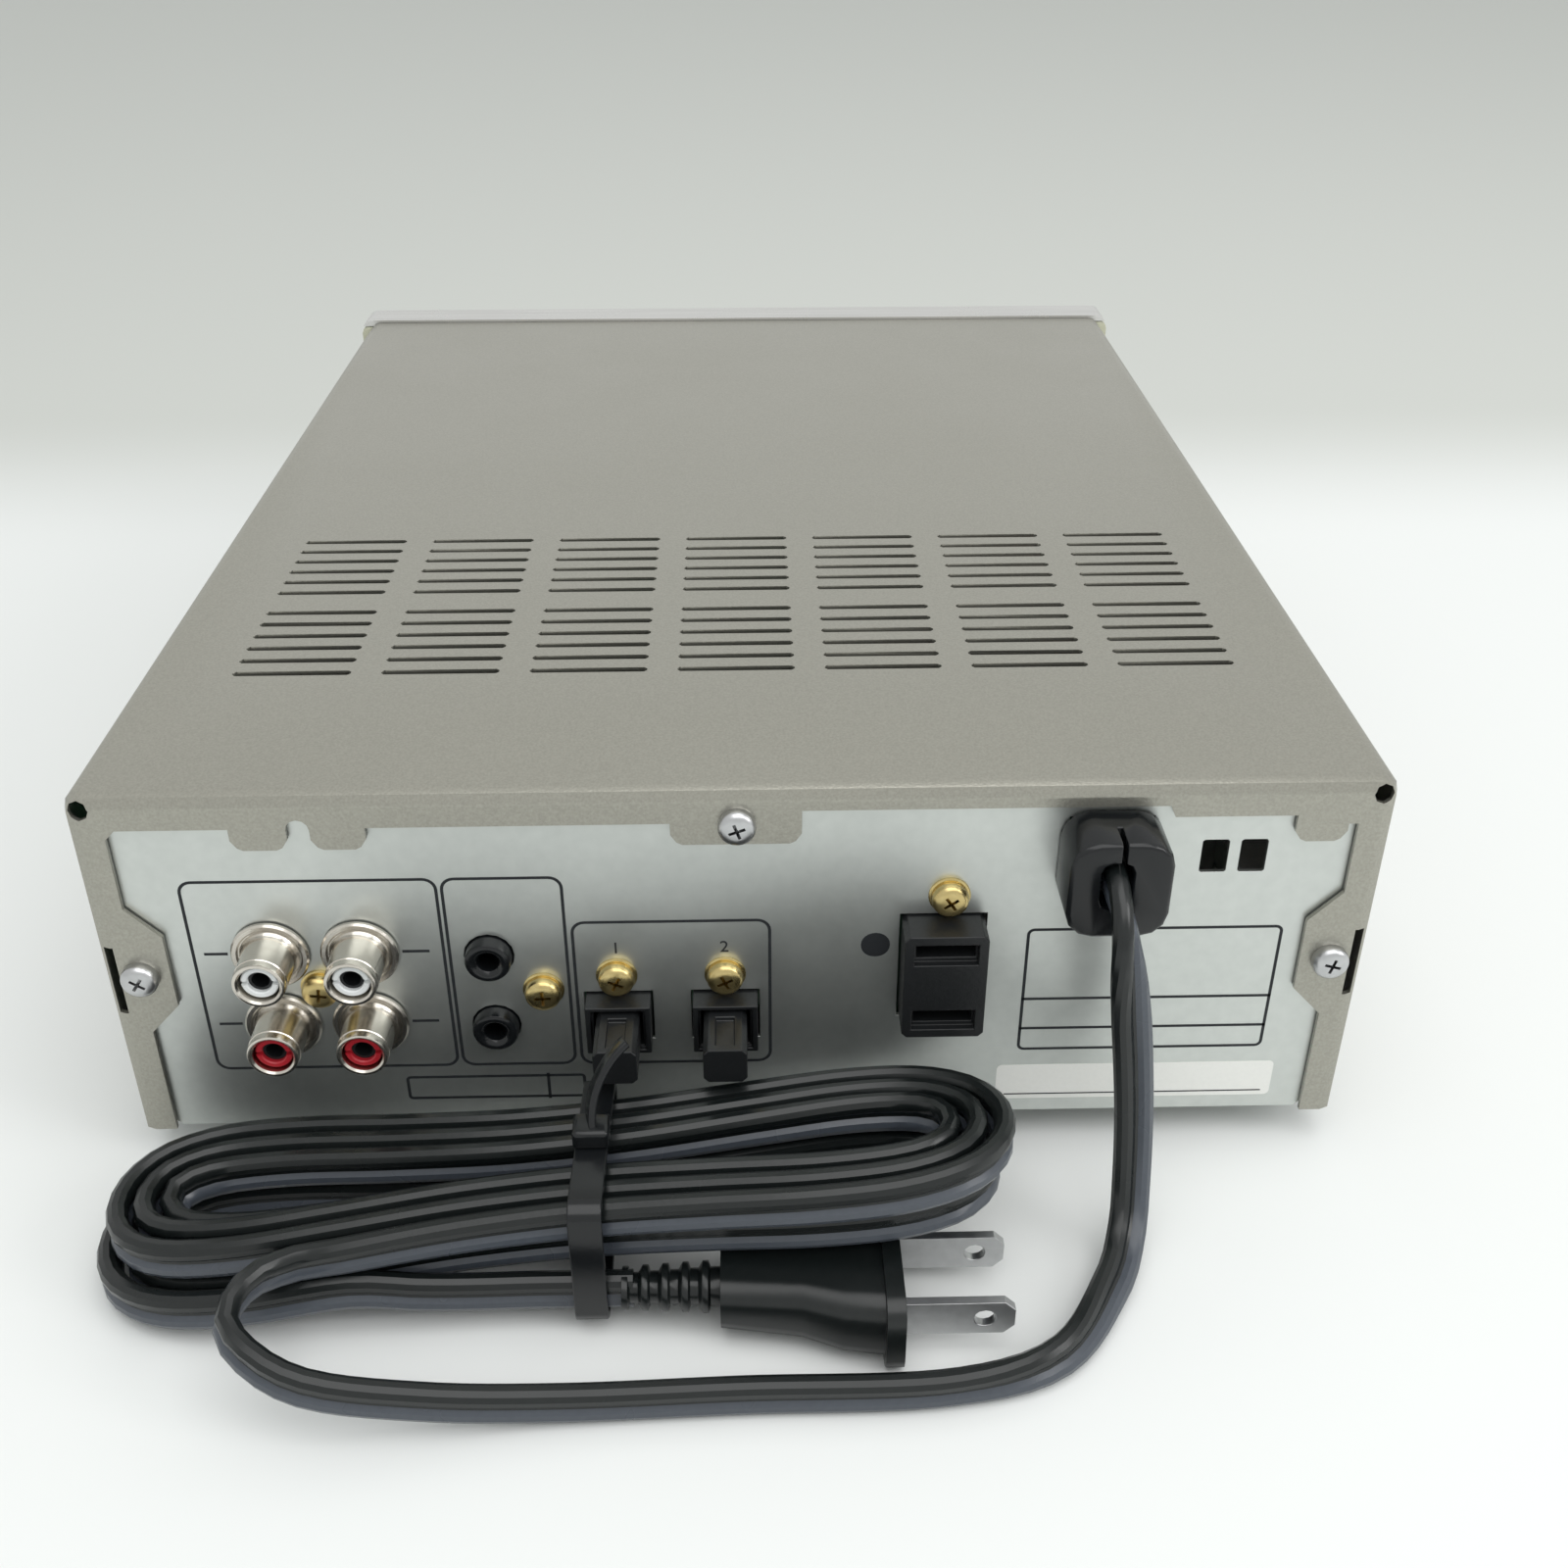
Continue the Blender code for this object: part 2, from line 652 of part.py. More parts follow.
def phono_sockets(housing_paint, nickel, white, red):
    """Housing with four nickel shells, each round a coloured insulator."""
    width, depth, height = RCA_HOUSING
    middle_x = sum(RCA_X) / 2
    middle_z = sum(RCA_Z) / 2
    back = PANEL_BACK - GAP
    housing = finish("rca_block", block((middle_x - width / 2, back - depth, middle_z - height / 2),
                                        (middle_x + width / 2, back, middle_z + height / 2)), housing_paint)
    collars = [ring(RCA_COLLAR, 16, (x, z)) for x in RCA_X for z in RCA_Z]
    join(housing, many(collars, back - OVERRUN, PANEL_FACE, "Y"))
    seat = PANEL_FACE + GAP
    tip = REAR + RCA_REACH
    lip = RCA_FLANGE_DEPTH / 3
    shell = [
        (RCA_BORE, seat), (RCA_FLANGE, seat), (RCA_FLANGE, seat + RCA_FLANGE_DEPTH - lip),
        (RCA_FLANGE - lip, seat + RCA_FLANGE_DEPTH), (RCA_BARREL, seat + RCA_FLANGE_DEPTH),
        (RCA_BARREL, tip - lip), (RCA_BARREL - lip, tip), (RCA_BORE, tip),
    ]
    face = tip - RCA_FLANGE_DEPTH
    core = RCA_BORE - GAP
    plug = [(RCA_PIN_HOLE, seat), (core, seat), (core, face), (RCA_PIN_HOLE, face)]
    number = 0
    for z, color in zip(RCA_Z, (white, red)):
        for x in RCA_X:
            number += 1
            place = (x, 0, z)
            finish(f"rca_shell_{number}", turned(shell, 20, "Y", place), nickel, place, 40)
            insulator = finish(f"rca_insulator_{number}", turned(plug, 16, "Y", place), color, place, 40)
            slit = GAP / 2 + lip / 2
            cut(insulator, block((x - RCA_BORE, face - RCA_PIN_HOLE, z - slit),
                                 (x + RCA_BORE, tip, z + slit)))


def remote_jacks(material):
    """Two mini jacks with round noses through the panel."""
    width, depth, height = REMOTE_BODY
    back = PANEL_BACK - GAP
    tip = REAR + REMOTE_REACH
    for name, z in zip(("remote_jack_upper", "remote_jack_lower"), REMOTE_Z):
        jack = finish(name, block((REMOTE_X - width / 2, back - depth, z - height / 2),
                                  (REMOTE_X + width / 2, back, z + height / 2)), material, smooth=40)
        join(jack, solid(ring(REMOTE_NOSE, 20, (REMOTE_X, z)), back - OVERRUN, tip, "Y"))
        cut(jack, solid(ring(REMOTE_BORE, 14, (REMOTE_X, z)), back - depth + OVERRUN, tip + OVERRUN, "Y"))


def optical_inputs(body_paint, cap_paint):
    """Two optical receivers, each with a dust cap pushed in."""
    tip = REAR + OPTICAL_REACH
    floor = tip - OPTICAL_DEPTH
    for number, x in enumerate(OPTICAL_X, 1):
        middle = (x, OPTICAL_Z)
        body = finish(f"optical_receiver_{number}",
                      solid(rounded(*OPTICAL_BEZEL, middle=middle), floor - OVERRUN, tip, "Y"), body_paint)
        step = (OPTICAL_MOUTH[0] + OPTICAL_STEP, OPTICAL_MOUTH[1] + OPTICAL_STEP)
        cut(body, solid(rounded(*step, middle=middle), tip - OPTICAL_STEP, tip + OVERRUN, "Y"),
            solid(rounded(*OPTICAL_MOUTH, middle=middle), floor, tip, "Y"))
        end = REAR + CAP_REACH
        cap = finish(f"optical_cap_{number}",
                     solid(rounded(*CAP_FACE, OPTICAL_STEP, 1, middle), floor + GAP, end, "Y"), cap_paint)
        top = OPTICAL_Z + CAP_FACE[1] / 2
        cut(cap, block((x - CAP_GRIP[0] / 2, tip + OPTICAL_STEP, top - CAP_GRIP[1] / 2),
                       (x + CAP_GRIP[0] / 2, end - CAP_GRIP[1], top + OVERRUN)))


def mains_outlet(material):
    """Two-blade mains outlet."""
    tip = REAR + OUTLET_REACH
    back = REAR - OUTLET_DEPTH
    middle = (OUTLET_X, OUTLET_Z)
    outlet = finish("ac_outlet", solid(rounded(*OUTLET_SIZE, OPTICAL_STEP, 1, middle), back, tip, "Y"), material)
    for side in (-1, 1):
        place = (OUTLET_X, OUTLET_Z + side * OUTLET_PITCH / 2)
        cut(outlet, solid(rounded(*OUTLET_SHELF, middle=place), tip - OUTLET_SHELF_DEPTH, tip + OVERRUN, "Y"),
            solid(rounded(*OUTLET_SLOT, middle=place), back + OVERRUN, tip, "Y"))


def cord_bushing(material):
    """Split strain relief with a pocket that the cord leaves from."""
    width, height = BUSHING_SIZE
    middle = (BUSHING_X, BUSHING_Z)
    tip = REAR + BUSHING_REACH
    seat = PANEL_FACE + GAP
    head = solid(rounded(width, height, BUSHING_CORNER, 3, middle), seat, tip, "Y")
    soften(head, BUSHING_WAIST / 2, 2, lambda edge: min(vert.co.y for vert in edge.verts) > tip - GAP)
    bushing = finish("cord_bushing", head, material, smooth=40)
    neck = (width - 2 * BUSHING_WAIST, height - 2 * BUSHING_WAIST)
    inside = PANEL_BACK - GAP
    join(bushing, solid(rounded(*neck, middle=middle), inside - OVERRUN * 2, seat + OVERRUN, "Y"),
         solid(rounded(width, height - BUSHING_WAIST, BUSHING_CORNER, 1, middle), inside - OVERRUN, inside, "Y"))
    pocket = CORD_EXIT
    opening = (CORD_THICKNESS + BUSHING_WAIST, CORD_WIDTH + BUSHING_WAIST)
    floor = tip - BUSHING_POCKET
    cut(bushing, solid(rounded(*opening, CORD_RADIUS, 2, (pocket.x, pocket.z)), floor, tip + OVERRUN, "Y"),
        block((BUSHING_X - BUSHING_SLIT / 2, floor, pocket.z),
              (BUSHING_X + BUSHING_SLIT / 2, tip + OVERRUN, TOP)))


def fascia(material):
    """Aluminium front with folded returns, cut out for the slot and the controls."""
    low = FOOT_HEIGHT - FASCIA_DROP
    high = TOP + FASCIA_PROUD
    wall = FACE + FASCIA_WALL
    back = FRONT - GAP
    profile = [
        (FACE, low + FASCIA_EDGE), (FACE + FASCIA_EDGE, low), (back, low), (back, low + FASCIA_RETURN),
        (wall, low + FASCIA_RETURN), (wall, high - FASCIA_RETURN), (back, high - FASCIA_RETURN),
        (back, high), (FACE + FASCIA_EDGE, high), (FACE, high - FASCIA_EDGE),
    ]
    front = finish("front_panel", solid(profile, -FRONT_HALF, FRONT_HALF, "X"), material)
    middle = (0, (low + high) / 2)
    combine(front, solid(rounded(2 * FRONT_HALF, high - low, FASCIA_CORNER, 4, middle),
                         FACE - OVERRUN, FRONT, "Y"), "INTERSECT")
    holes = [rounded(*SLOT_SIZE, FASCIA_EDGE, 1, (SLOT_X, SLOT_Z)),
             rounded(*DISPLAY_SIZE, FASCIA_EDGE, 1, (DISPLAY_X, DISPLAY_Z)),
             ring(KNOB_SHAFT + GAP, 16, (JOG_X, JOG_Z)),
             ring(KNOB_SHAFT + GAP, 16, (LEVEL_X, LEVEL_Z))]
    for x, z, width, height in BUTTON_SIZES.values():
        holes.append(rounded(width + 2 * GAP, height + 2 * GAP, BUTTON_CORNER, 2, (x, z)))
    cut(front, many(holes, FACE - OVERRUN, wall + OVERRUN, "Y"))


def front_frame(material):
    """Moulded frame behind the fascia: tunnel for the disc, pockets, end caps."""
    low = FOOT_HEIGHT - FASCIA_DROP + FASCIA_RETURN + GAP
    high = TOP + FASCIA_PROUD - FASCIA_RETURN - GAP
    start = FACE + FASCIA_WALL + GAP
    back = FRAME_BACK
    middle = (0, (low + high) / 2)
    frame = finish("front_frame", solid(rounded(2 * FRONT_HALF, high - low, FASCIA_CORNER / 2, 2, middle),
                                        start, back, "Y"), material)
    tunnel_low = SLOT_Z - SLOT_SIZE[1] / 2 - FLAP_OVERLAP - GAP
    tunnel_high = SLOT_Z + SLOT_SIZE[1] / 2 + FLAP_OVERLAP + FLAP_HEADROOM
    half = SLOT_SIZE[0] / 2 + FLAP_OVERLAP + GAP
    through = [
        rounded(2 * half, tunnel_high - tunnel_low, middle=(SLOT_X, (tunnel_low + tunnel_high) / 2)),
        ring(KNOB_SHAFT + GAP, 16, (JOG_X, JOG_Z)),
        ring(KNOB_SHAFT + GAP, 16, (LEVEL_X, LEVEL_Z)),
        grown(DISPLAY_SIZE, (DISPLAY_X, DISPLAY_Z)),
    ]
    margin = BUTTON_FLANGE + GAP
    for x, z, width, height in BUTTON_SIZES.values():
        through.append(rounded(width + 2 * margin, height + 2 * margin, middle=(x, z)))
    cut(frame, many(through, start - OVERRUN, back + OVERRUN, "Y"))
    axis_y, axis_z = flap_axis()
    reach = half + FLAP_PIN_LENGTH
    cut(frame, solid(ring(FLAP_PIN + GAP, 12, (axis_y, axis_z)), SLOT_X - reach, SLOT_X + reach, "X"))


def flap_axis():
    """Y and z of the flap's hinge line."""
    return (FACE + FASCIA_WALL + 2 * GAP + FLAP_THICKNESS,
            SLOT_Z + SLOT_SIZE[1] / 2 + FLAP_OVERLAP)


def slot_flap(material):
    """Flap that closes the disc slot from behind, with a pin at each end."""
    half = SLOT_SIZE[0] / 2 + FLAP_OVERLAP
    axis_y, axis_z = flap_axis()
    start = FACE + FASCIA_WALL + GAP
    bottom = SLOT_Z - SLOT_SIZE[1] / 2 - FLAP_OVERLAP
    flap = finish("slot_flap", block((SLOT_X - half, start, bottom), (SLOT_X + half, start + FLAP_THICKNESS, axis_z)),
                  material, (SLOT_X, axis_y, axis_z))
    reach = half + FLAP_PIN_LENGTH - GAP
    join(flap, solid(ring(FLAP_PIN, 10, (axis_y, axis_z)), SLOT_X - reach, SLOT_X + reach, "X"))


def display(window_paint, tube_paint):
    """Tinted window in the fascia and the display tube behind it."""
    width, height = DISPLAY_SIZE
    start = FACE + DISPLAY_RECESS
    back = FACE + FASCIA_WALL
    finish("display_window", solid(rounded(width - 2 * GAP, height - 2 * GAP, FASCIA_EDGE, 1,
                                           (DISPLAY_X, DISPLAY_Z)), start, back, "Y"), window_paint)
    length, depth, tall = TUBE_SIZE
    rear = BOARD_FACE - GAP
    tube = block((DISPLAY_X - length / 2, rear - depth, DISPLAY_Z - tall / 2),
                 (DISPLAY_X + length / 2, rear, DISPLAY_Z + tall / 2))
    finish("display_tube", soften(tube, FASCIA_EDGE, 1), tube_paint)


def knobs(material):
    """Jog dial with a finger dimple, and the smaller level knob with a pointer groove."""
    seat = FACE - GAP
    rear = BOARD_FACE - GAP
    for name, radius, reach, x, z in (
        ("jog_dial", JOG_RADIUS, KNOB_REACH, JOG_X, JOG_Z),
        ("level_knob", LEVEL_RADIUS, LEVEL_REACH, LEVEL_X, LEVEL_Z),
    ):
        tip = FACE - reach
        edge = radius * DRAFT_SHARE
        profile = [
            (0, rear), (KNOB_SHAFT, rear), (KNOB_SHAFT, seat), (radius, seat), (radius - edge, tip + edge),
            (radius - 2 * edge, tip), (0, tip),
        ]
        place = (x, 0, z)
        knob = finish(name, turned(profile, 32 if name == "jog_dial" else 24, "Y", place), material, place, 40)
        if name == "jog_dial":
            dimple = turned([(0, tip - JOG_DIMPLE / 2), (JOG_DIMPLE, tip - JOG_DIMPLE / 2),
                             (JOG_DIMPLE * DIMPLE_SHARE, tip + JOG_DIMPLE / 4), (0, tip + JOG_DIMPLE / 3)],
                            16, "Y", (x + JOG_DIMPLE_X, 0, z))
            bmesh.ops.recalc_face_normals(dimple, faces=dimple.faces)
            cut(knob, dimple)
        else:
            cut(knob, block((x - GAP, tip - OVERRUN, z + radius / 4), (x + GAP, seat - GAP, z + radius + OVERRUN)))


def buttons(material):
    """Push buttons with a flange that keeps each behind the fascia."""
    for name, (x, z, width, height) in BUTTON_SIZES.items():
        origin = (x, FACE, z)
        tip = FACE - BUTTON_REACH
        wall = FACE + FASCIA_WALL + GAP
        cap = solid(rounded(width, height, BUTTON_CORNER, 2, (x, z)), tip, wall + BUTTON_FLANGE / 2, "Y")
        soften(cap, GAP, 1, lambda edge: max(vert.co.y for vert in edge.verts) < FACE)
        button = finish(name, cap, material, origin)
        flange = rounded(width + 2 * BUTTON_FLANGE, height + 2 * BUTTON_FLANGE, middle=(x, z))
        stem = min(width, height) / 2
        rear = BOARD_FACE - BUTTON_TRAVEL - GAP
        join(button, solid(flange, wall, wall + BUTTON_FLANGE, "Y"),
             solid(rounded(stem, stem, middle=(x, z)), wall + BUTTON_FLANGE / 2, rear, "Y"))


def boards(material):
    """Main board on spacers and the L-shaped front board."""
    width, depth = MAIN_BOARD
    back = REAR - MAIN_BOARD_REAR
    main = finish("main_board", solid(rounded(width, depth, middle=(MAIN_BOARD_X, back - depth / 2)),
                                      MAIN_BOARD_Z, MAIN_BOARD_Z + BOARD, "Z"), material)
    spacers = []
    for sx in (-1, 1):
        for sy in (-1, 1):
            x = MAIN_BOARD_X + sx * (width / 2 - BOARD_SPACER * 2)
            y = back - depth / 2 + sy * (depth / 2 - BOARD_SPACER * 2)
            spacers.append(ring(BOARD_SPACER, 12, (x, y)))
    join(main, many(spacers, CHASSIS_TOP + GAP, MAIN_BOARD_Z + BOARD / 2, "Z"))
    half = COVER_HALF - SHEET - CHASSIS_SHEET - 2 * GAP
    low = CHASSIS_TOP + GAP
    high = TOP - SHEET - BOARD_SPACER
    step = SLOT_X + HOLDER_INSIDE[0] / 2 + FRONT_BOARD_STEP
    outline = [(-half, low), (half, low), (half, high), (step, high), (step, FRONT_BOARD_TOP),
               (-half, FRONT_BOARD_TOP)]
    finish("front_board", solid(outline, BOARD_FACE, BOARD_FACE + BOARD, "Y"), material)


def transformer(core_paint, winding_paint):
    """Laminated core with two windows and the winding round its middle leg."""
    width, depth, height = CORE_SIZE
    y = REAR - CORE_Y_FROM_REAR
    low = CHASSIS_TOP + GAP
    core = finish("transformer_core", block((CORE_X - width / 2, y - depth / 2, low),
                                            (CORE_X + width / 2, y + depth / 2, low + height)), core_paint)
    window_high = height - 2 * CORE_YOKE
    window_wide = (width - CORE_LEG - 2 * CORE_YOKE) / 2
    middle_z = low + height / 2
    offset = (CORE_LEG + window_wide) / 2
    windows = [rounded(window_wide, window_high, middle=(CORE_X + side * offset, middle_z)) for side in (-1, 1)]
    cut(core, many(windows, y - depth, y + depth, "Y"))
    inner_wide = CORE_LEG + 2 * GAP
    inner_deep = depth + 2 * GAP
    outer_wide = CORE_LEG + 2 * window_wide - 2 * GAP
    outer_deep = depth + 2 * WINDING_SPREAD
    tall = window_high / 2 - GAP
    coil = solid(rounded(outer_wide, outer_deep, BUSHING_CORNER, 3, (CORE_X, y)), middle_z - tall, middle_z + tall, "Z")
    winding = finish("transformer_winding", coil, winding_paint)
    cut(winding, solid(rounded(inner_wide, inner_deep, middle=(CORE_X, y)), 0, TOP, "Z"))


def capsule(start, end, radius, steps=4):
    """Outline of a slot with round ends between two points."""
    run = Vector(end) - Vector(start)
    heading = math.atan2(run.y, run.x)
    points = []
    for middle, first in ((end, heading - math.pi / 2), (start, heading + math.pi / 2)):
        for step in range(steps + 1):
            angle = first + math.pi * step / steps
            points.append((middle[0] + radius * math.cos(angle), middle[1] + radius * math.sin(angle)))
    return points


def wrapped(corners, radius, steps=3):
    """Outline of a band drawn tight round equal circles at the corners, counter-clockwise."""
    points = []
    for index, middle in enumerate(corners):
        before, after = corners[index - 1], corners[(index + 1) % len(corners)]
        first = math.atan2(middle[1] - before[1], middle[0] - before[0]) - math.pi / 2
        last = math.atan2(after[1] - middle[1], after[0] - middle[0]) - math.pi / 2
        last += 2 * math.pi * (last < first)
        for step in range(steps + 1):
            angle = first + (last - first) * step / steps
            points.append((middle[0] + radius * math.cos(angle), middle[1] + radius * math.sin(angle)))
    return points


def pinion_outline(middle):
    """Outline of the pinion with one tooth straight up."""
    tip = PINION_RADIUS + RACK_ADDENDUM
    root = PINION_RADIUS - RACK_DEDENDUM
    tip_half = (RACK_TOOTH / 2 - RACK_ADDENDUM * math.tan(PRESSURE_ANGLE)) / tip
    root_half = (RACK_TOOTH / 2 + RACK_DEDENDUM * math.tan(PRESSURE_ANGLE)) / root
    points = []
    for tooth in range(PINION_TEETH):
        up = math.pi / 2 + 2 * math.pi * tooth / PINION_TEETH
        for radius, offset in ((root, -root_half), (tip, -tip_half), (tip, tip_half), (root, root_half)):
            points.append((middle[0] + radius * math.cos(up + offset),
                           middle[1] + radius * math.sin(up + offset)))
    return points


def pinion_middle():
    """Y and z of the pinion's axis, a pitch radius under the rack's pitch line."""
    return (DISC.y + PINION_Y, CAM_BOTTOM - RACK_DEDENDUM - PINION_RADIUS)


def cam_slide(material):
    """Plate with a slanted slot for each holder pin and a rack along its lower edge."""
    y, _ = pinion_middle()
    inner = DISC.x - CAM_LEFT
    tip_half = RACK_TOOTH / 2 - RACK_ADDENDUM * math.tan(PRESSURE_ANGLE)
    root_half = RACK_TOOTH / 2 + RACK_DEDENDUM * math.tan(PRESSURE_ANGLE)
    tip = CAM_BOTTOM - RACK_DEDENDUM - RACK_ADDENDUM
    low_end = DISC.y - CAM_HALF_LENGTH
    high_end = DISC.y + CAM_HALF_LENGTH
    top = CAM_BOTTOM + CAM_HEIGHT
    outline = [(high_end, CAM_BOTTOM), (high_end, top), (low_end, top), (low_end, CAM_BOTTOM)]
    first = y - (RACK_TEETH - 4 - 1 / 2) * RACK_PITCH
    for tooth in range(RACK_TEETH):
        middle = first + tooth * RACK_PITCH
        outline += [(middle - root_half, CAM_BOTTOM), (middle - tip_half, tip),
                    (middle + tip_half, tip), (middle + root_half, CAM_BOTTOM)]
    slide = finish("cam_slide", solid(outline, inner - CAM_SHEET, inner, "X"), material)
    slots = []
    for side in (-1, 1):
        start = (DISC.y + side * HOLDER_PIN_Y, SLOT_Z)
        end = (start[0] - CAM_TRAVEL, SLOT_Z - HOLDER_DROP)
        slots.append(capsule(start, end, HOLDER_PIN + GAP))
    cut(slide, many(slots, inner - CAM_SHEET - OVERRUN, inner + OVERRUN, "X"))


def loading_drive(motor_paint, pinion_paint):
    """Loading motor outside the left cheek and its pinion under the rack."""
    y, z = pinion_middle()
    plate_middle = DISC.x - CAM_LEFT - CAM_SHEET / 2
    face = plate_middle + PINION_WIDTH / 2
    cheek = DISC.x - BRACKET_LEFT
    shaft_end = cheek - GAP - MOTOR_BORE_DEPTH + CAM_CLEARANCE
    place = (0, y, z)
    pinion = finish("loading_pinion", solid(pinion_outline((y, z)), face - PINION_WIDTH, face, "X"),
                    pinion_paint, (plate_middle, y, z))
    join(pinion, solid(ring(PINION_SHAFT, 12, (y, z)), shaft_end, face - PINION_WIDTH / 2, "X"))
    start = cheek - GAP
    end = start - MOTOR_LENGTH
    edge = FOOT_RIM
    bore = PINION_SHAFT + GAP
    floor = start - MOTOR_BORE_DEPTH
    can = [(0, end), (MOTOR_RADIUS - edge, end), (MOTOR_RADIUS, end + edge), (MOTOR_RADIUS, start),
           (bore, start), (bore, floor), (0, floor)]
    finish("loading_motor", turned(can, 24, "X", place), motor_paint, place, 40)


def mech_bracket(material):
    """Folded bracket: open plate on four legs, a slotted cheek left and a low one right."""
    left = DISC.x - BRACKET_LEFT
    right = DISC.x + BRACKET_RIGHT
    front = DISC.y - BRACKET_HALF_LENGTH
    back = DISC.y + BRACKET_HALF_LENGTH
    top = BRACKET_Z + BRACKET_SHEET
    bracket = finish("mech_bracket", block((left, front, BRACKET_Z), (right, back, top)), material)
    rim = BRACKET_RIM
    cut(bracket, block((left + rim, front + rim, 0), (right - rim, back - rim, TOP)))
    inset = BRACKET_HALF_LENGTH - CAM_HALF_LENGTH
    cheek = block((left, front + inset, BRACKET_Z), (left + BRACKET_SHEET, back - inset, CHEEK_TOP))
    low_cheek = block((right - BRACKET_SHEET, front + inset, BRACKET_Z), (right, back - inset, top + CHEEK_LOW))
    join(bracket, cheek, low_cheek)
    floor = CHASSIS_TOP + GAP
    legs = bmesh.new()
    for x in (left, right - BRACKET_LEG):
        for y, inward in ((front, 1), (back, -1)):
            across = sorted((y, y + inward * BRACKET_SHEET))
            foot = sorted((y, y + inward * BRACKET_LEG))
            prism(legs, [(across[0], floor), (across[1], floor), (across[1], top - BRACKET_SHEET / 2),
                         (across[0], top - BRACKET_SHEET / 2)], x, x + BRACKET_LEG, "X")
    join(bracket, legs)
    feet_plates = bmesh.new()
    for x in (left, right - BRACKET_LEG):
        for y, inward in ((front, 1), (back, -1)):
            low, high = sorted((y - inward * BRACKET_SHEET / 4, y + inward * BRACKET_LEG))
            prism(feet_plates, [(x, low), (x + BRACKET_LEG, low), (x + BRACKET_LEG, high), (x, high)],
                  floor - GAP / 4, floor + BRACKET_SHEET, "Z")
    join(bracket, feet_plates)
    y, z = pinion_middle()
    holes = [ring(PINION_SHAFT + GAP, 12, (y, z))]
    for side in (-1, 1):
        pin_y = DISC.y + side * HOLDER_PIN_Y
        holes.append(capsule((pin_y, SLOT_Z - HOLDER_DROP), (pin_y, SLOT_Z), HOLDER_PIN + GAP))
    cut(bracket, many(holes, left - OVERRUN, left + BRACKET_SHEET + OVERRUN, "X"))


def disc_holder(material):
    """Folded holder that takes the cartridge, open in front, with pins on its left wall."""
    width, depth, height = HOLDER_INSIDE
    half = width / 2
    deep = depth / 2
    sheet = HOLDER_SHEET
    top = HOLDER_BOTTOM + HOLDER_HEIGHT
    origin = (DISC.x, DISC.y, SLOT_Z)
    holder = finish("disc_holder", block((DISC.x - half - sheet, DISC.y - deep, HOLDER_BOTTOM),
                                         (DISC.x + half + sheet, DISC.y + deep + sheet, top)), material, origin)
    cut(holder, block((DISC.x - half, DISC.y - deep - OVERRUN, HOLDER_BOTTOM + sheet),
                      (DISC.x + half, DISC.y + deep, top - sheet)))
    ledge = half - HOLDER_LEDGE
    cut(holder, block((DISC.x - ledge, DISC.y - deep + HOLDER_LEDGE, 0),
                      (DISC.x + ledge, DISC.y + deep - HOLDER_LEDGE, SLOT_Z)))
    cut(holder, block((DISC.x - TOP_WINDOW_START, DISC.y - TOP_WINDOW / 2, SLOT_Z),
                      (DISC.x + half - sheet, DISC.y + TOP_WINDOW / 2, TOP)))
    pins = many([ring(HOLDER_PIN, 10, (DISC.y + side * HOLDER_PIN_Y, SLOT_Z)) for side in (-1, 1)],
                DISC.x - BRACKET_LEFT, DISC.x - half - sheet / 2, "X")
    join(holder, pins)


def mech_base(material):
    """Cast base with the spindle hole, four feet and the posts that hold the rods."""
    left = DISC.x - BASE_LEFT
    right = DISC.x + BASE_RIGHT
    top = BASE_Z + BASE_THICKNESS
    half = BASE_HALF_LENGTH
    middle = ((left + right) / 2, DISC.y)
    base = finish("mech_base", solid(rounded(right - left, 2 * half, BASE_BOSS, 2, middle), BASE_Z, top, "Z"),
                  material, smooth=40)
    feet_rings = []
    for x in (left + BASE_BOSS, right - BASE_BOSS):
        for y in (DISC.y - half + BASE_BOSS, DISC.y + half - BASE_BOSS):
            feet_rings.append(ring(BASE_BOSS, 12, (x, y)))
    join(base, many(feet_rings, BRACKET_Z + BRACKET_SHEET + GAP, BASE_Z + BASE_THICKNESS / 2, "Z"))
    posts = []
    for rod_y in ROD_Y:
        for x in (ROD_SPAN[0] + ROD_POST[0] / 2, ROD_SPAN[1] - ROD_POST[0] / 2):
            posts.append(rounded(*ROD_POST, middle=(DISC.x + x, DISC.y + rod_y)))
    join(base, many(posts, BASE_Z + BASE_THICKNESS / 2, ROD_Z + ROD_POST[0] / 2, "Z"))
    cut(base, solid(ring(SPINDLE_BOSS + GAP, 20, (DISC.x, DISC.y)), 0, TOP, "Z"),
        many([ring(ROD_RADIUS + GAP, 12, (DISC.y + y, ROD_Z)) for y in ROD_Y],
             DISC.x + ROD_SPAN[0] - OVERRUN, DISC.x + ROD_SPAN[1] + OVERRUN, "X"))


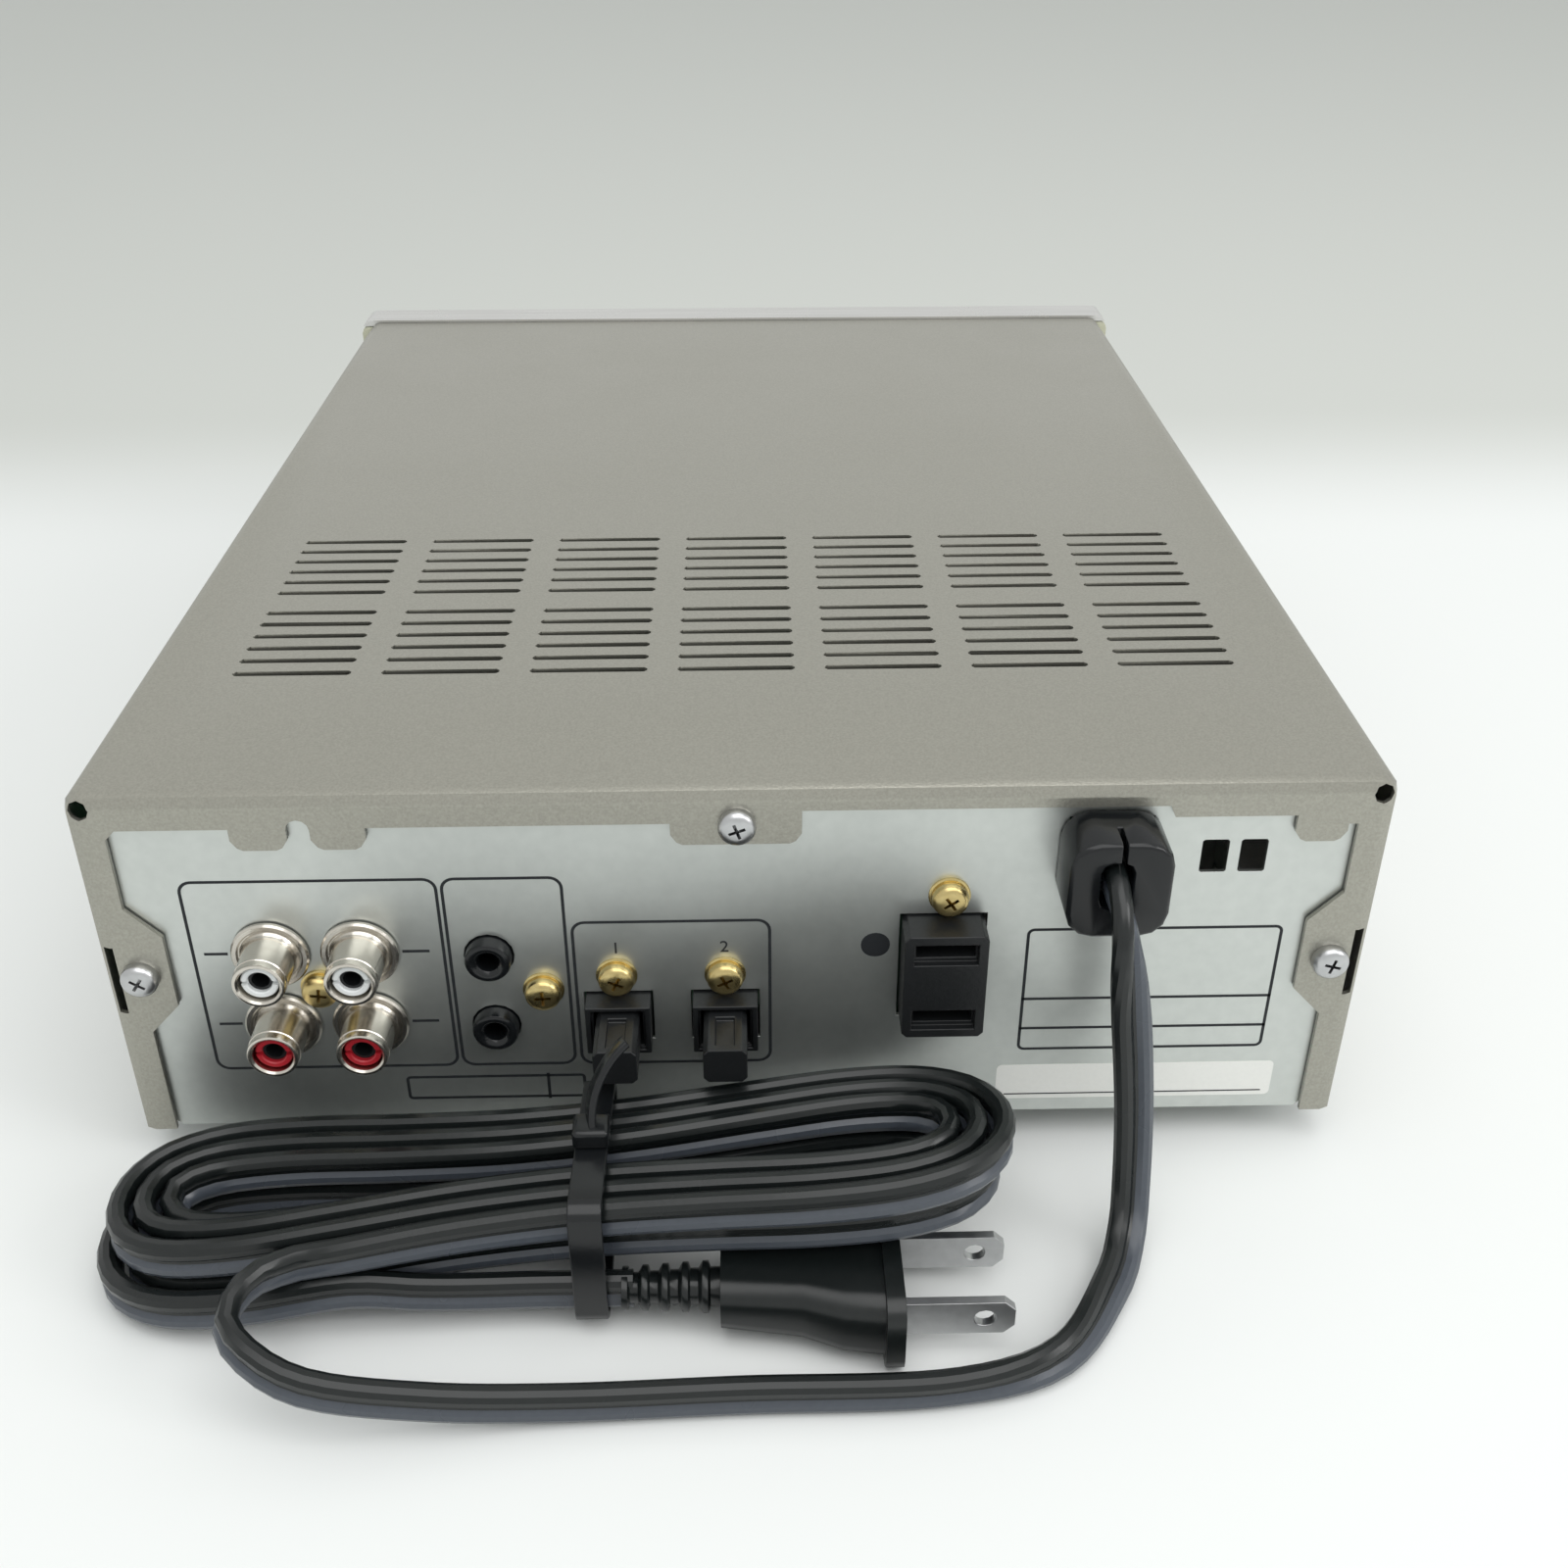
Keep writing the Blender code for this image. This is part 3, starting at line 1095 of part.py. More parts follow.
def spindle(can_paint, table_paint):
    """Spindle motor under the base and the turntable on its shaft."""
    place = (DISC.x, DISC.y, 0)
    can_top = BASE_Z - GAP
    boss_top = BASE_Z + BASE_THICKNESS + SPINDLE_SHAFT
    bore = SPINDLE_SHAFT + GAP
    low = can_top - SPINDLE_HEIGHT
    can = [(0, low), (SPINDLE_CAN - FOOT_RIM, low), (SPINDLE_CAN, low + FOOT_RIM), (SPINDLE_CAN, can_top),
           (SPINDLE_BOSS, can_top), (SPINDLE_BOSS, boss_top), (bore, boss_top), (bore, can_top), (0, can_top)]
    finish("spindle_motor", turned(can, 28, "Z", place), can_paint, place, 40)
    top = TURNTABLE_Z + TURNTABLE_HEIGHT
    edge = SPINDLE_SHAFT / 2
    table = [(0, can_top + GAP), (SPINDLE_SHAFT, can_top + GAP), (SPINDLE_SHAFT, boss_top + GAP),
             (SPINDLE_BOSS, boss_top + GAP), (SPINDLE_BOSS, TURNTABLE_Z),
             (TURNTABLE_RADIUS, TURNTABLE_Z), (TURNTABLE_RADIUS, top - edge), (TURNTABLE_RADIUS - edge, top),
             (SPINDLE_BOSS, top - edge), (0, top - edge)]
    finish("turntable", turned(table, 28, "Z", place), table_paint, place, 40)


def pickup(sled_paint, rod_paint, screw_paint, motor_paint, arm_paint):
    """Optical pickup on its two rods, its lead screw and motor, and the magnetic head's arm."""
    start = DISC.x + SLED_START
    width, depth, height = SLED_SIZE
    low = ROD_Z - height / 2
    high = low + height
    lens_x = start + LENS_FROM_SLED
    sled = finish("pickup_sled", block((start, DISC.y - depth / 2, low), (start + width, DISC.y + depth / 2, high)),
                  sled_paint)
    axis_x = DISC.x + HEAD_AXIS_X
    outer = axis_x + HEAD_LEG / 2
    inner = axis_x - HEAD_LEG / 2
    foot_high = low + HEAD_LEG
    leg_top = HEAD_AXIS_Z + HEAD_PIN
    leg = [(start + width - HEAD_LEG, low + GAP), (outer, low + GAP), (outer, leg_top), (inner, leg_top),
           (inner, foot_high), (start + width - HEAD_LEG, foot_high)]
    join(sled, solid(leg, DISC.y - HEAD_WIDTH / 2, DISC.y + HEAD_WIDTH / 2, "Y"))
    pin_half = HEAD_WIDTH / 2 + GAP + HEAD_ARM_SHEET
    join(sled, solid(ring(HEAD_PIN, 10, (axis_x, HEAD_AXIS_Z)), DISC.y - pin_half, DISC.y + pin_half, "Y"))
    lens = turned([(0, high - LENS_HEIGHT), (LENS_RADIUS * 2, high - LENS_HEIGHT),
                   (LENS_RADIUS * 2, high + LENS_HEIGHT / 2), (LENS_RADIUS, high + LENS_HEIGHT / 2),
                   (LENS_RADIUS / 2, high + LENS_HEIGHT), (0, high + LENS_HEIGHT)], 16, "Z",
                  (lens_x, DISC.y, 0))
    bmesh.ops.recalc_face_normals(lens, faces=lens.faces)
    nut_end = DISC.y + SCREW_Y + SCREW_RADIUS + GAP
    nut = block((start + HEAD_LEG, nut_end, low + HEAD_LEG / 2),
                (start + width - HEAD_LEG, DISC.y - depth / 2 + HEAD_LEG, high - GAP))
    join(sled, lens, nut)
    cut(sled, many([ring(ROD_RADIUS + GAP, 12, (DISC.y + y, ROD_Z)) for y in ROD_Y],
                   start - OVERRUN, start + width + OVERRUN, "X"))
    for number, rod_y in enumerate(ROD_Y, 1):
        rod = solid(ring(ROD_RADIUS, 14, (DISC.y + rod_y, ROD_Z)),
                    DISC.x + ROD_SPAN[0], DISC.x + ROD_SPAN[1], "X")
        finish(f"guide_rod_{number}", rod, rod_paint, smooth=40)
    screw_y = DISC.y + SCREW_Y
    motor_end = DISC.x + ROD_SPAN[0]
    place = (motor_end, screw_y, SCREW_Z)
    bore = SCREW_RADIUS + GAP
    floor = -MOTOR_BORE_DEPTH
    can = [(0, -SLED_MOTOR_LENGTH), (SLED_MOTOR_RADIUS - GAP, -SLED_MOTOR_LENGTH),
           (SLED_MOTOR_RADIUS, GAP - SLED_MOTOR_LENGTH), (SLED_MOTOR_RADIUS, 0), (bore, 0), (bore, floor), (0, floor)]
    finish("sled_motor", turned(can, 20, "X", place), motor_paint, place, 40)
    screw = solid(ring(SCREW_RADIUS, 14, (screw_y, SCREW_Z)), motor_end + floor + GAP, DISC.x + ROD_SPAN[1], "X")
    finish("sled_screw", screw, screw_paint, place, 40)
    under = HEAD_AXIS_Z + HEAD_ARM_LIFT
    tip = lens_x - HEAD_PAD / 2
    origin = (axis_x, DISC.y, HEAD_AXIS_Z)
    half = HEAD_WIDTH / 2 + GAP + HEAD_ARM_SHEET
    top = under + HEAD_ARM_SHEET
    drop = HEAD_AXIS_Z - 2 * HEAD_PIN
    outline = [(tip, under), (inner, under), (inner, drop), (outer, drop), (outer, top), (tip, top)]
    arm = finish("head_arm", solid(outline, DISC.y - half, DISC.y + half, "Y"), arm_paint, origin)
    clear = half - HEAD_ARM_SHEET
    cut(arm, block((inner - OVERRUN, DISC.y - clear, drop - OVERRUN), (outer + OVERRUN, DISC.y + clear, under - GAP)))
    join(arm, block((tip + GAP, DISC.y - HEAD_PAD / 2, under - HEAD_PAD_DEPTH),
                    (tip + HEAD_PAD, DISC.y + HEAD_PAD / 2, under + HEAD_ARM_SHEET / 2)))
    cut(arm, solid(ring(HEAD_PIN + GAP, 12, (axis_x, HEAD_AXIS_Z)),
                   DISC.y - half - OVERRUN, DISC.y + half + OVERRUN, "Y"))


def hank_point(turns):
    """Point of the hank after a number of turns: in on the upper layer, out on the lower."""
    reverse = HANK_TURNS - 1 / 4
    climb_end = HANK_TURNS + 1 / 4
    inward = min(turns, 2 * HANK_TURNS - turns)
    angle = 2 * math.pi * turns + HANK_START
    fall = min(max((turns - reverse) / (climb_end - reverse), 0), 1)
    fall = fall * fall * (3 - 2 * fall)
    cos, sin = math.cos(angle), math.sin(angle)
    place = Vector((HANK_HALF_LENGTH * cos, sin * (HANK_WAIST + HANK_BULGE * cos * cos), 0))
    along = Vector((-HANK_HALF_LENGTH * sin,
                    cos * (HANK_WAIST + HANK_BULGE * cos * cos) - 2 * HANK_BULGE * cos * sin * sin, 0))
    outward = Vector((along.y, -along.x, 0)).normalized()
    place -= outward * inward * HANK_PITCH
    return HANK + place + Vector((0, 0, hank_lift(place) + (1 - fall) * HANK_LAYER_STEP))


def hank_lift(place):
    """Height of the hank's underside at a place counted from its middle: it leans on the plug."""
    along = HANK_HALF_LENGTH + CORD_THICKNESS - place.x
    return along * HANK_SLOPE_SHARE * (1 + HANK_LEAN_SHARE * place.y / HANK_HALF_LENGTH)


def hank_route():
    """Points of the hank from the lead to the plug: its turns, then the tail."""
    count = 2 * HANK_TURNS * HANK_LOOP_POINTS
    points = [hank_point(2 * HANK_TURNS * step / count) for step in range(count + 1)]
    return points + smooth_route([points[-2], points[-1]] + tail_points(), CORD_WIDTH)[3:]


def tail_points():
    """Route of the cord's last stretch, chosen by hand: off the hank, under it, into the plug."""
    reach = REAR
    relief_end = PLUG_FLANGE_X + PLUG_FLANGE[0] + PLUG_BODY[0] + PLUG_RELIEF[0]
    y = REAR + PLUG_Y_FROM_REAR
    return [
        Vector((0.0480, reach + 0.0372, 0.0076)),
        Vector((0.0400, reach + 0.0368, 0.0070)),
        Vector((0.0320, reach + 0.0365, 0.0068)),
        Vector((relief_end + CORD_WIDTH + GAP, y, PLUG_Z)),
        Vector((relief_end + GAP, y, PLUG_Z)),
    ]


def least_gap(points):
    """Smallest clear distance between turns of the flat cord, measured on the route."""
    fine = []
    for start, end in zip(points, points[1:]):
        fine += [start.lerp(end, step / 4) for step in range(4)]
    skip = HANK_LOOP_POINTS * 2
    best = HANK_HALF_LENGTH
    for first, start in enumerate(fine):
        for other in fine[first + skip:]:
            apart = other - start
            rise = max(abs(apart.z) - 2 * CORD_EDGE, 0)
            best = min(best, math.hypot(apart.x, apart.y, rise) - CORD_THICKNESS)
    return best


def smooth_route(points, step):
    """Points at even steps along a smooth curve through the route's own points."""
    fine = []
    for index in range(len(points) - 1):
        before = points[max(index - 1, 0)]
        start, end = points[index], points[index + 1]
        after = points[min(index + 2, len(points) - 1)]
        for part in range(16):
            t = part / 16
            fine.append(0.5 * (2 * start + (end - before) * t + (2 * before - 5 * start + 4 * end - after) * t * t
                               + (3 * start - before - 3 * end + after) * t * t * t))
    fine.append(points[-1])
    even = [fine[0]]
    walked = 0.0
    for start, end in zip(fine, fine[1:]):
        walked += (end - start).length
        if walked >= step:
            even.append(end)
            walked = 0.0
    if (even[-1] - fine[-1]).length < step / 2:
        even.pop()
    even.append(fine[-1])
    return even


def cord(name, points, material, resolution):
    """Flat or round cord along a route, with filled ends."""
    curve = bpy.data.curves.new(name, "CURVE")
    curve.dimensions = "3D"
    curve.twist_mode = "Z_UP"
    curve.bevel_depth = CORD_RADIUS
    curve.bevel_resolution = resolution
    curve.extrude = CORD_EDGE
    curve.use_fill_caps = True
    spline = curve.splines.new("POLY")
    spline.points.add(len(points) - 1)
    for point, place in zip(spline.points, points):
        point.co = (*place, 1)
    curve.materials.append(material)
    made = bpy.data.objects.new(name, curve)
    bpy.context.scene.collection.objects.link(made)
    return made


def lead_points():
    """Route of the free lead, chosen by hand: bushing, floor, round to the hank."""
    end = hank_point(0)
    heading = (hank_point(1 / HANK_LOOP_POINTS) - end).normalized()
    reach = REAR
    return [
        CORD_EXIT,
        Vector((-0.0563, reach + 0.0090, 0.0591)),
        Vector((-0.0567, reach + 0.0135, 0.0565)),
        Vector((-0.0575, reach + 0.0160, 0.0500)),
        Vector((-0.0592, reach + 0.0172, 0.0380)),
        Vector((-0.0608, reach + 0.0180, 0.0240)),
        Vector((-0.0612, reach + 0.0205, 0.0120)),
        Vector((-0.0600, reach + 0.0260, 0.0050)),
        Vector((-0.0560, reach + 0.0350, 0.0034)),
        Vector((-0.0460, reach + 0.0480, 0.0034)),
        Vector((-0.0290, reach + 0.0530, 0.0034)),
        Vector((0.0000, reach + 0.0535, 0.0034)),
        Vector((0.0250, reach + 0.0545, 0.0038)),
        Vector((0.0450, reach + 0.0560, 0.0065)),
        Vector((0.0620, reach + 0.0560, 0.0105)),
        Vector((0.0720, reach + 0.0500, 0.0142)),
        Vector((0.0710, reach + 0.0430, 0.0158)),
        end - heading * (CORD_WIDTH + GAP),
        end - heading * GAP,
    ]


def mains_cord(cord_paint, tie_paint, plug_paint, blade_paint):
    """The cord's free lead, its hank, the tie round the hank, the plug and its blades."""
    route = hank_route()
    cord("cord_lead", smooth_route(lead_points(), CORD_WIDTH * LEAD_STEP_SHARE), cord_paint, 1)
    cord("cord_hank", route, cord_paint, 1)
    print("least gap of the hank to itself in metres:", round(least_gap(route), 6))
    reach = HANK_WAIST + CORD_RADIUS + GAP - TIE_CORNER
    far = HANK.y - reach
    near = REAR + PLUG_Y_FROM_REAR + CORD_RADIUS + GAP - TIE_CORNER
    tall = CORD_WIDTH + HANK_LAYER_STEP + TIE_SLACK - TIE_CORNER
    place = TIE_X - HANK_X
    far_low = hank_lift(Vector((place, -HANK_WAIST, 0)))
    near_low = hank_lift(Vector((place, HANK_WAIST, 0)))
    corners = [(far, far_low - TIE_SLACK + TIE_CORNER), (near, PLUG_Z - CORD_WIDTH / 2 - GAP + TIE_CORNER),
               (near, near_low + tall), (far, far_low + tall)]
    half = TIE_WIDTH / 2
    tie = finish("cord_tie", solid(wrapped(corners, TIE_CORNER + TIE_SHEET), TIE_X - half, TIE_X + half, "X"),
                 tie_paint, smooth=40)
    cut(tie, solid(wrapped(corners, TIE_CORNER), TIE_X - TIE_WIDTH, TIE_X + TIE_WIDTH, "X"))
    plug(plug_paint, blade_paint)


def plug(body_paint, blade_paint):
    """Flat two-blade plug with a waisted grip and a ribbed relief, lying on the floor."""
    y = REAR + PLUG_Y_FROM_REAR
    start = PLUG_FLANGE_X
    flange_end = start + PLUG_FLANGE[0]
    body_end = flange_end + PLUG_BODY[0]
    places = (flange_end + PLUG_BODY[0] / 4, flange_end + PLUG_BODY[0] / 2, body_end)
    stations = [(flange_end - GAP, 1, 1), *zip(places, NECK_SHARES, NECK_HEIGHT_SHARES)]
    loft = bmesh.new()
    rings = []
    for x, wide, tall in stations:
        outline = rounded(PLUG_BODY[1] * wide, PLUG_BODY[2] * tall, CORD_THICKNESS, 3, (y, PLUG_Z))
        rings.append([loft.verts.new((x, u, v)) for u, v in outline])
    for near, far in zip(rings, rings[1:]):
        for index, vert in enumerate(near):
            after = (index + 1) % len(near)
            loft.faces.new((vert, near[after], far[after], far[index]))
    loft.faces.new(rings[0])
    loft.faces.new(rings[-1])
    body = finish("plug_body", loft, body_paint, smooth=40)
    flange = rounded(PLUG_FLANGE[1], PLUG_FLANGE[2], CORD_THICKNESS, 3, (y, PLUG_Z))
    join(body, solid(flange, start, flange_end, "X"))
    length, radius = PLUG_RELIEF
    tip = body_end + length
    profile = [(0, body_end - CORD_THICKNESS)]
    for rib in range(PLUG_RIBS):
        at = body_end + length * rib / PLUG_RIBS
        taper = radius * (1 - rib / PLUG_RIBS * RELIEF_TAPER_SHARE)
        groove = length / PLUG_RIBS / 2
        if rib == 0:
            profile.append((taper - PLUG_RIB_DEPTH, body_end - CORD_THICKNESS))
        profile += [(taper - PLUG_RIB_DEPTH, at + GAP), (taper - PLUG_RIB_DEPTH, at + groove),
                    (taper, at + groove + GAP), (taper, at + 2 * groove - GAP)]
    profile += [(0, profile[-1][1])]
    relief = turned(profile, 16, "X", (0, y, PLUG_Z))
    bmesh.ops.recalc_face_normals(relief, faces=relief.faces)
    join(body, relief)
    pocket = bmesh.new()
    for number, side in enumerate((-1, 1), 1):
        blade_y = y + side * BLADE_PITCH / 2
        depth = BLADE_SIZE[1]
        tall = BLADE_SIZE[2]
        tail = start + flange_end - start + GAP
        prism(pocket, rounded(depth + 2 * GAP, tall + 2 * GAP, middle=(blade_y, PLUG_Z)),
              start - OVERRUN, tail + GAP, "X")
        tip = start - BLADE_SIZE[0]
        nose = tall / 4
        outline = [(tail, PLUG_Z - tall / 2), (tail, PLUG_Z + tall / 2), (tip + nose, PLUG_Z + tall / 2),
                   (tip, PLUG_Z + nose), (tip, PLUG_Z - nose), (tip + nose, PLUG_Z - tall / 2)]
        blade = finish(f"plug_blade_{number}", solid(outline, blade_y - depth / 2, blade_y + depth / 2, "Y"),
                       blade_paint)
        hole = ring(BLADE_HOLE, 12, (tip + BLADE_HOLE_FROM_TIP, PLUG_Z))
        cut(blade, solid(hole, blade_y - depth, blade_y + depth, "Y"))
    cut(body, pocket)


def build():
    """Model every piece with its own paint."""
    for made in list(bpy.data.objects):
        bpy.data.objects.remove(made)
    champagne = paint("champagne_paint", (0.46, 0.44, 0.40), 0.38, 0.55)
    zinc = paint("zinc_plate", (0.62, 0.65, 0.68), 0.32, 0.9)
    silver = paint("fascia_aluminium", (0.70, 0.70, 0.69), 0.35, 0.85)
    cream = paint("frame_plastic", (0.60, 0.61, 0.50), 0.5)
    black = paint("black_plastic", (0.02, 0.02, 0.022), 0.4)
    nickel = paint("nickel", (0.72, 0.68, 0.62), 0.2, 1.0)
    white = paint("white_plastic", (0.80, 0.82, 0.82), 0.4)
    red = paint("red_plastic", (0.45, 0.02, 0.03), 0.4)
    board = paint("circuit_board", (0.05, 0.22, 0.10), 0.5)
    steel = paint("steel", (0.60, 0.60, 0.60), 0.3, 1.0)
    glass = paint("smoked_window", (0.03, 0.035, 0.04), 0.1)
    copper = paint("copper_winding", (0.55, 0.24, 0.10), 0.4, 0.8)
    rubber = paint("foot_rubber", (0.04, 0.04, 0.04), 0.8)
    cord_skin = paint("cord_vinyl", (0.035, 0.038, 0.042), 0.42)
    bottom_chassis(zinc)
    top_cover(champagne)
    rear_panel(zinc)
    feet(rubber)
    fascia(silver)
    front_frame(cream)
    slot_flap(silver)
    display(glass, glass)
    knobs(silver)
    buttons(silver)
    boards(board)
    transformer(steel, copper)
    phono_sockets(black, nickel, white, red)
    remote_jacks(black)
    optical_inputs(black, black)
    mains_outlet(black)
    cord_bushing(black)
    mech_bracket(zinc)
    disc_holder(steel)
    cam_slide(steel)
    loading_drive(steel, white)
    mech_base(steel)
    spindle(steel, black)
    pickup(black, steel, steel, steel, steel)
    mains_cord(cord_skin, black, black, nickel)


build()
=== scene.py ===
"""Minidisc deck seen from behind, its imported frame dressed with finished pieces.

Each sub-assembly is a class: its sizes are dataclass fields, its methods build
the meshes with bmesh operators and give every piece and carried-over node its
finish. Metres, +Z up, the front faces -Y and the rear panel +Y.
"""

import json
import logging
import math
from dataclasses import dataclass
from enum import Enum
from typing import Any, Iterable, Mapping, Optional, Sequence, Union

import bmesh
import bpy
from mathutils import Matrix, Vector

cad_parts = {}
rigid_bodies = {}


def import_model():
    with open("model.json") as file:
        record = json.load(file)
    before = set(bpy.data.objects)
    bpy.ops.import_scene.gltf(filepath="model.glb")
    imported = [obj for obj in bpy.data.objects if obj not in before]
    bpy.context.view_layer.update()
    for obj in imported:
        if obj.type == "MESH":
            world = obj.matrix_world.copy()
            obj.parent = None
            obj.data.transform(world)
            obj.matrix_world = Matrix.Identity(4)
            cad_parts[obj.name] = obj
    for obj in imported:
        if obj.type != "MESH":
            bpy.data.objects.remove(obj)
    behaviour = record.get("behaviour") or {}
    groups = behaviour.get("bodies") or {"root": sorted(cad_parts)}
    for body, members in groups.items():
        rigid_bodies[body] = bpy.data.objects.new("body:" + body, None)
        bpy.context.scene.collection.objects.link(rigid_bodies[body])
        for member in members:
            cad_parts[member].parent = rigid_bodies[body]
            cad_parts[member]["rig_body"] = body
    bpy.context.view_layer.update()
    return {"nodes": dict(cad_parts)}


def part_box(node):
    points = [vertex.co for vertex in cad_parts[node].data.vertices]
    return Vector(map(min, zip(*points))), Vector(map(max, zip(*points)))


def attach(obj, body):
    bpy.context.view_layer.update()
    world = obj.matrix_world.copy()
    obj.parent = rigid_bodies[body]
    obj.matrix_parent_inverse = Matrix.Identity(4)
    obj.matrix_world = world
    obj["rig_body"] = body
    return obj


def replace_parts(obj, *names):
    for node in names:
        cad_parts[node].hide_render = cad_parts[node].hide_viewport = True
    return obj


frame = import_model()
LOG = logging.getLogger("deck")
Point = tuple[float, float]
Triple = tuple[float, float, float]
Bounds = tuple[float, float, float, float]
Color = Triple
BMesh = bmesh.types.BMesh
Link = tuple[bpy.types.Node, Union[str, int], bpy.types.Node, Union[str, int]]

QUARTER_TURN = math.pi / 2
WELD = 1e-6  # vertices nearer to each other than this are merged
GAP = 0.0003  # air between a dressed piece and the plate that it passes
SMOOTH_DEGREES = 35.0
FLAT_ANGLE = math.radians(1.0)
EDGE_ANGLE = math.radians(40)
RELIEF_DEPTH = 0.0002
COAT_ROUGHNESS = 0.12
PRINT_PROUD = 0.00003
SIGN_PROUD = 0.00008
LETTER_SHARE = 1.4  # font size over the height of a numeral


class Grain(Enum):
    """Kind of surface that a finish shows."""

    SPECKLED = "speckled_grain"
    BRUSHED = "brushed_grain"
    MOULDED = "moulded_grain"


CONTRAST = {Grain.SPECKLED: 0.75, Grain.BRUSHED: 0.55, Grain.MOULDED: 0.35}


@dataclass(frozen=True)
class Finish:
    """A material: its colours, gloss and the grain that breaks them up.

    The colour moves between color and shade by the grain's mask, and the
    roughness between roughness and roughness + spread by a broader cloud.
    """

    name: str
    color: Color
    shade: Color
    roughness: float
    metallic: float = 0.0
    grain: Grain = Grain.MOULDED
    scale: float = 1500.0
    stretch: Triple = (1.0, 1.0, 1.0)
    bump: float = 0.1
    spread: float = 0.12
    coat: float = 0.0
    specular: float = 0.5

    def material(self) -> bpy.types.Material:
        """Return the material, built on first use."""
        made = bpy.data.materials.get(self.name)
        if made:
            return made
        made = bpy.data.materials.new(self.name)
        made.use_nodes = True
        tree = made.node_tree
        shader = tree.nodes["Principled BSDF"]
        preset(shader, {"Metallic": self.metallic, "Coat Weight": self.coat, "Coat Roughness": COAT_ROUGHNESS,
                        "Specular IOR Level": self.specular, "Base Color": (*self.color, 1.0)})
        group = added(tree, "ShaderNodeGroup", {
            "Color": (*self.color, 1.0), "Shade": (*self.shade, 1.0), "Scale": self.scale, "Stretch": self.stretch,
            "Roughness": self.roughness, "Spread": self.spread, "Contrast": CONTRAST[self.grain],
        }, node_tree=surface_group())
        relief = added(tree, "ShaderNodeBump", {"Strength": self.bump, "Distance": RELIEF_DEPTH})
        linked(tree, (group, "Color", shader, "Base Color"), (group, "Roughness", shader, "Roughness"),
               (group, "Height", relief, "Height"), (relief, "Normal", shader, "Normal"))
        return made


def preset(node: bpy.types.Node, values: Mapping[str, Any]) -> None:
    """Set the defaults of a node's inputs.

    Args:
        node: The shader node.
        values: Value of each input, by the input's name.
    """
    for name, value in values.items():
        node.inputs[name].default_value = value


def added(tree: bpy.types.NodeTree, kind: str, values: Optional[Mapping[str, Any]] = None,
          **settings: Any) -> bpy.types.Node:
    """Add a shader node.

    Args:
        tree: Tree that it is added to.
        kind: Blender's type name of the node.
        values: Value of each input that nothing is linked to.
        settings: Settings of the node, made before its inputs are set.

    Returns:
        The node.
    """
    made = tree.nodes.new(kind)
    for name, value in settings.items():
        setattr(made, name, value)
    preset(made, values or {})
    return made


def linked(tree: bpy.types.NodeTree, *links: Link) -> None:
    """Link sockets of a node tree.

    Args:
        tree: The tree.
        links: Each a node, its output, the node that it feeds and that node's input.
    """
    for source, output, target, entry in links:
        tree.links.new(source.outputs[output], target.inputs[entry])


def surface_group() -> bpy.types.NodeTree:
    """Return the shared grain group: fine grain over broad, faint clouds of wear.

    Returns:
        The node group; it puts out a colour, a roughness and a height.
    """
    made = bpy.data.node_groups.get("surface_grain")
    if made:
        return made
    made = bpy.data.node_groups.new("surface_grain", "ShaderNodeTree")
    for name, kind in (("Color", "NodeSocketColor"), ("Shade", "NodeSocketColor"), ("Scale", "NodeSocketFloat"),
                       ("Stretch", "NodeSocketVector"), ("Contrast", "NodeSocketFloat"),
                       ("Roughness", "NodeSocketFloat"), ("Spread", "NodeSocketFloat")):
        made.interface.new_socket(name=name, in_out="INPUT", socket_type=kind)
    for name, kind in (("Color", "NodeSocketColor"), ("Roughness", "NodeSocketFloat"),
                       ("Height", "NodeSocketFloat")):
        made.interface.new_socket(name=name, in_out="OUTPUT", socket_type=kind)
    entry, leave = added(made, "NodeGroupInput"), added(made, "NodeGroupOutput")
    place = added(made, "ShaderNodeTexCoord")
    pull = added(made, "ShaderNodeVectorMath", operation="MULTIPLY")
    fine = added(made, "ShaderNodeTexNoise", {"Detail": 3.0})
    broad = added(made, "ShaderNodeTexNoise", {"Scale": 38.0, "Detail": 4.0})
    curve = added(made, "ShaderNodeMapRange", {"From Min": 0.3, "From Max": 0.7})
    faint = added(made, "ShaderNodeMath", operation="MULTIPLY")
    cloud = added(made, "ShaderNodeMapRange", {"From Min": 0.35, "From Max": 0.75})
    tint = added(made, "ShaderNodeMix", data_type="RGBA")
    haze = added(made, "ShaderNodeMath", operation="MULTIPLY_ADD")
    linked(made, (place, "Object", pull, 0), (entry, "Stretch", pull, 1), (pull, "Vector", fine, "Vector"),
           (entry, "Scale", fine, "Scale"), (place, "Object", broad, "Vector"), (fine, "Fac", curve, "Value"),
           (curve, "Result", faint, 0), (entry, "Contrast", faint, 1), (faint, "Value", tint, "Factor"),
           (entry, "Color", tint, "A"), (entry, "Shade", tint, "B"), (broad, "Fac", cloud, "Value"),
           (cloud, "Result", haze, 0), (entry, "Spread", haze, 1), (entry, "Roughness", haze, 2),
           (tint, "Result", leave, "Color"), (haze, "Value", leave, "Roughness"),
           (curve, "Result", leave, "Height"))
    return made


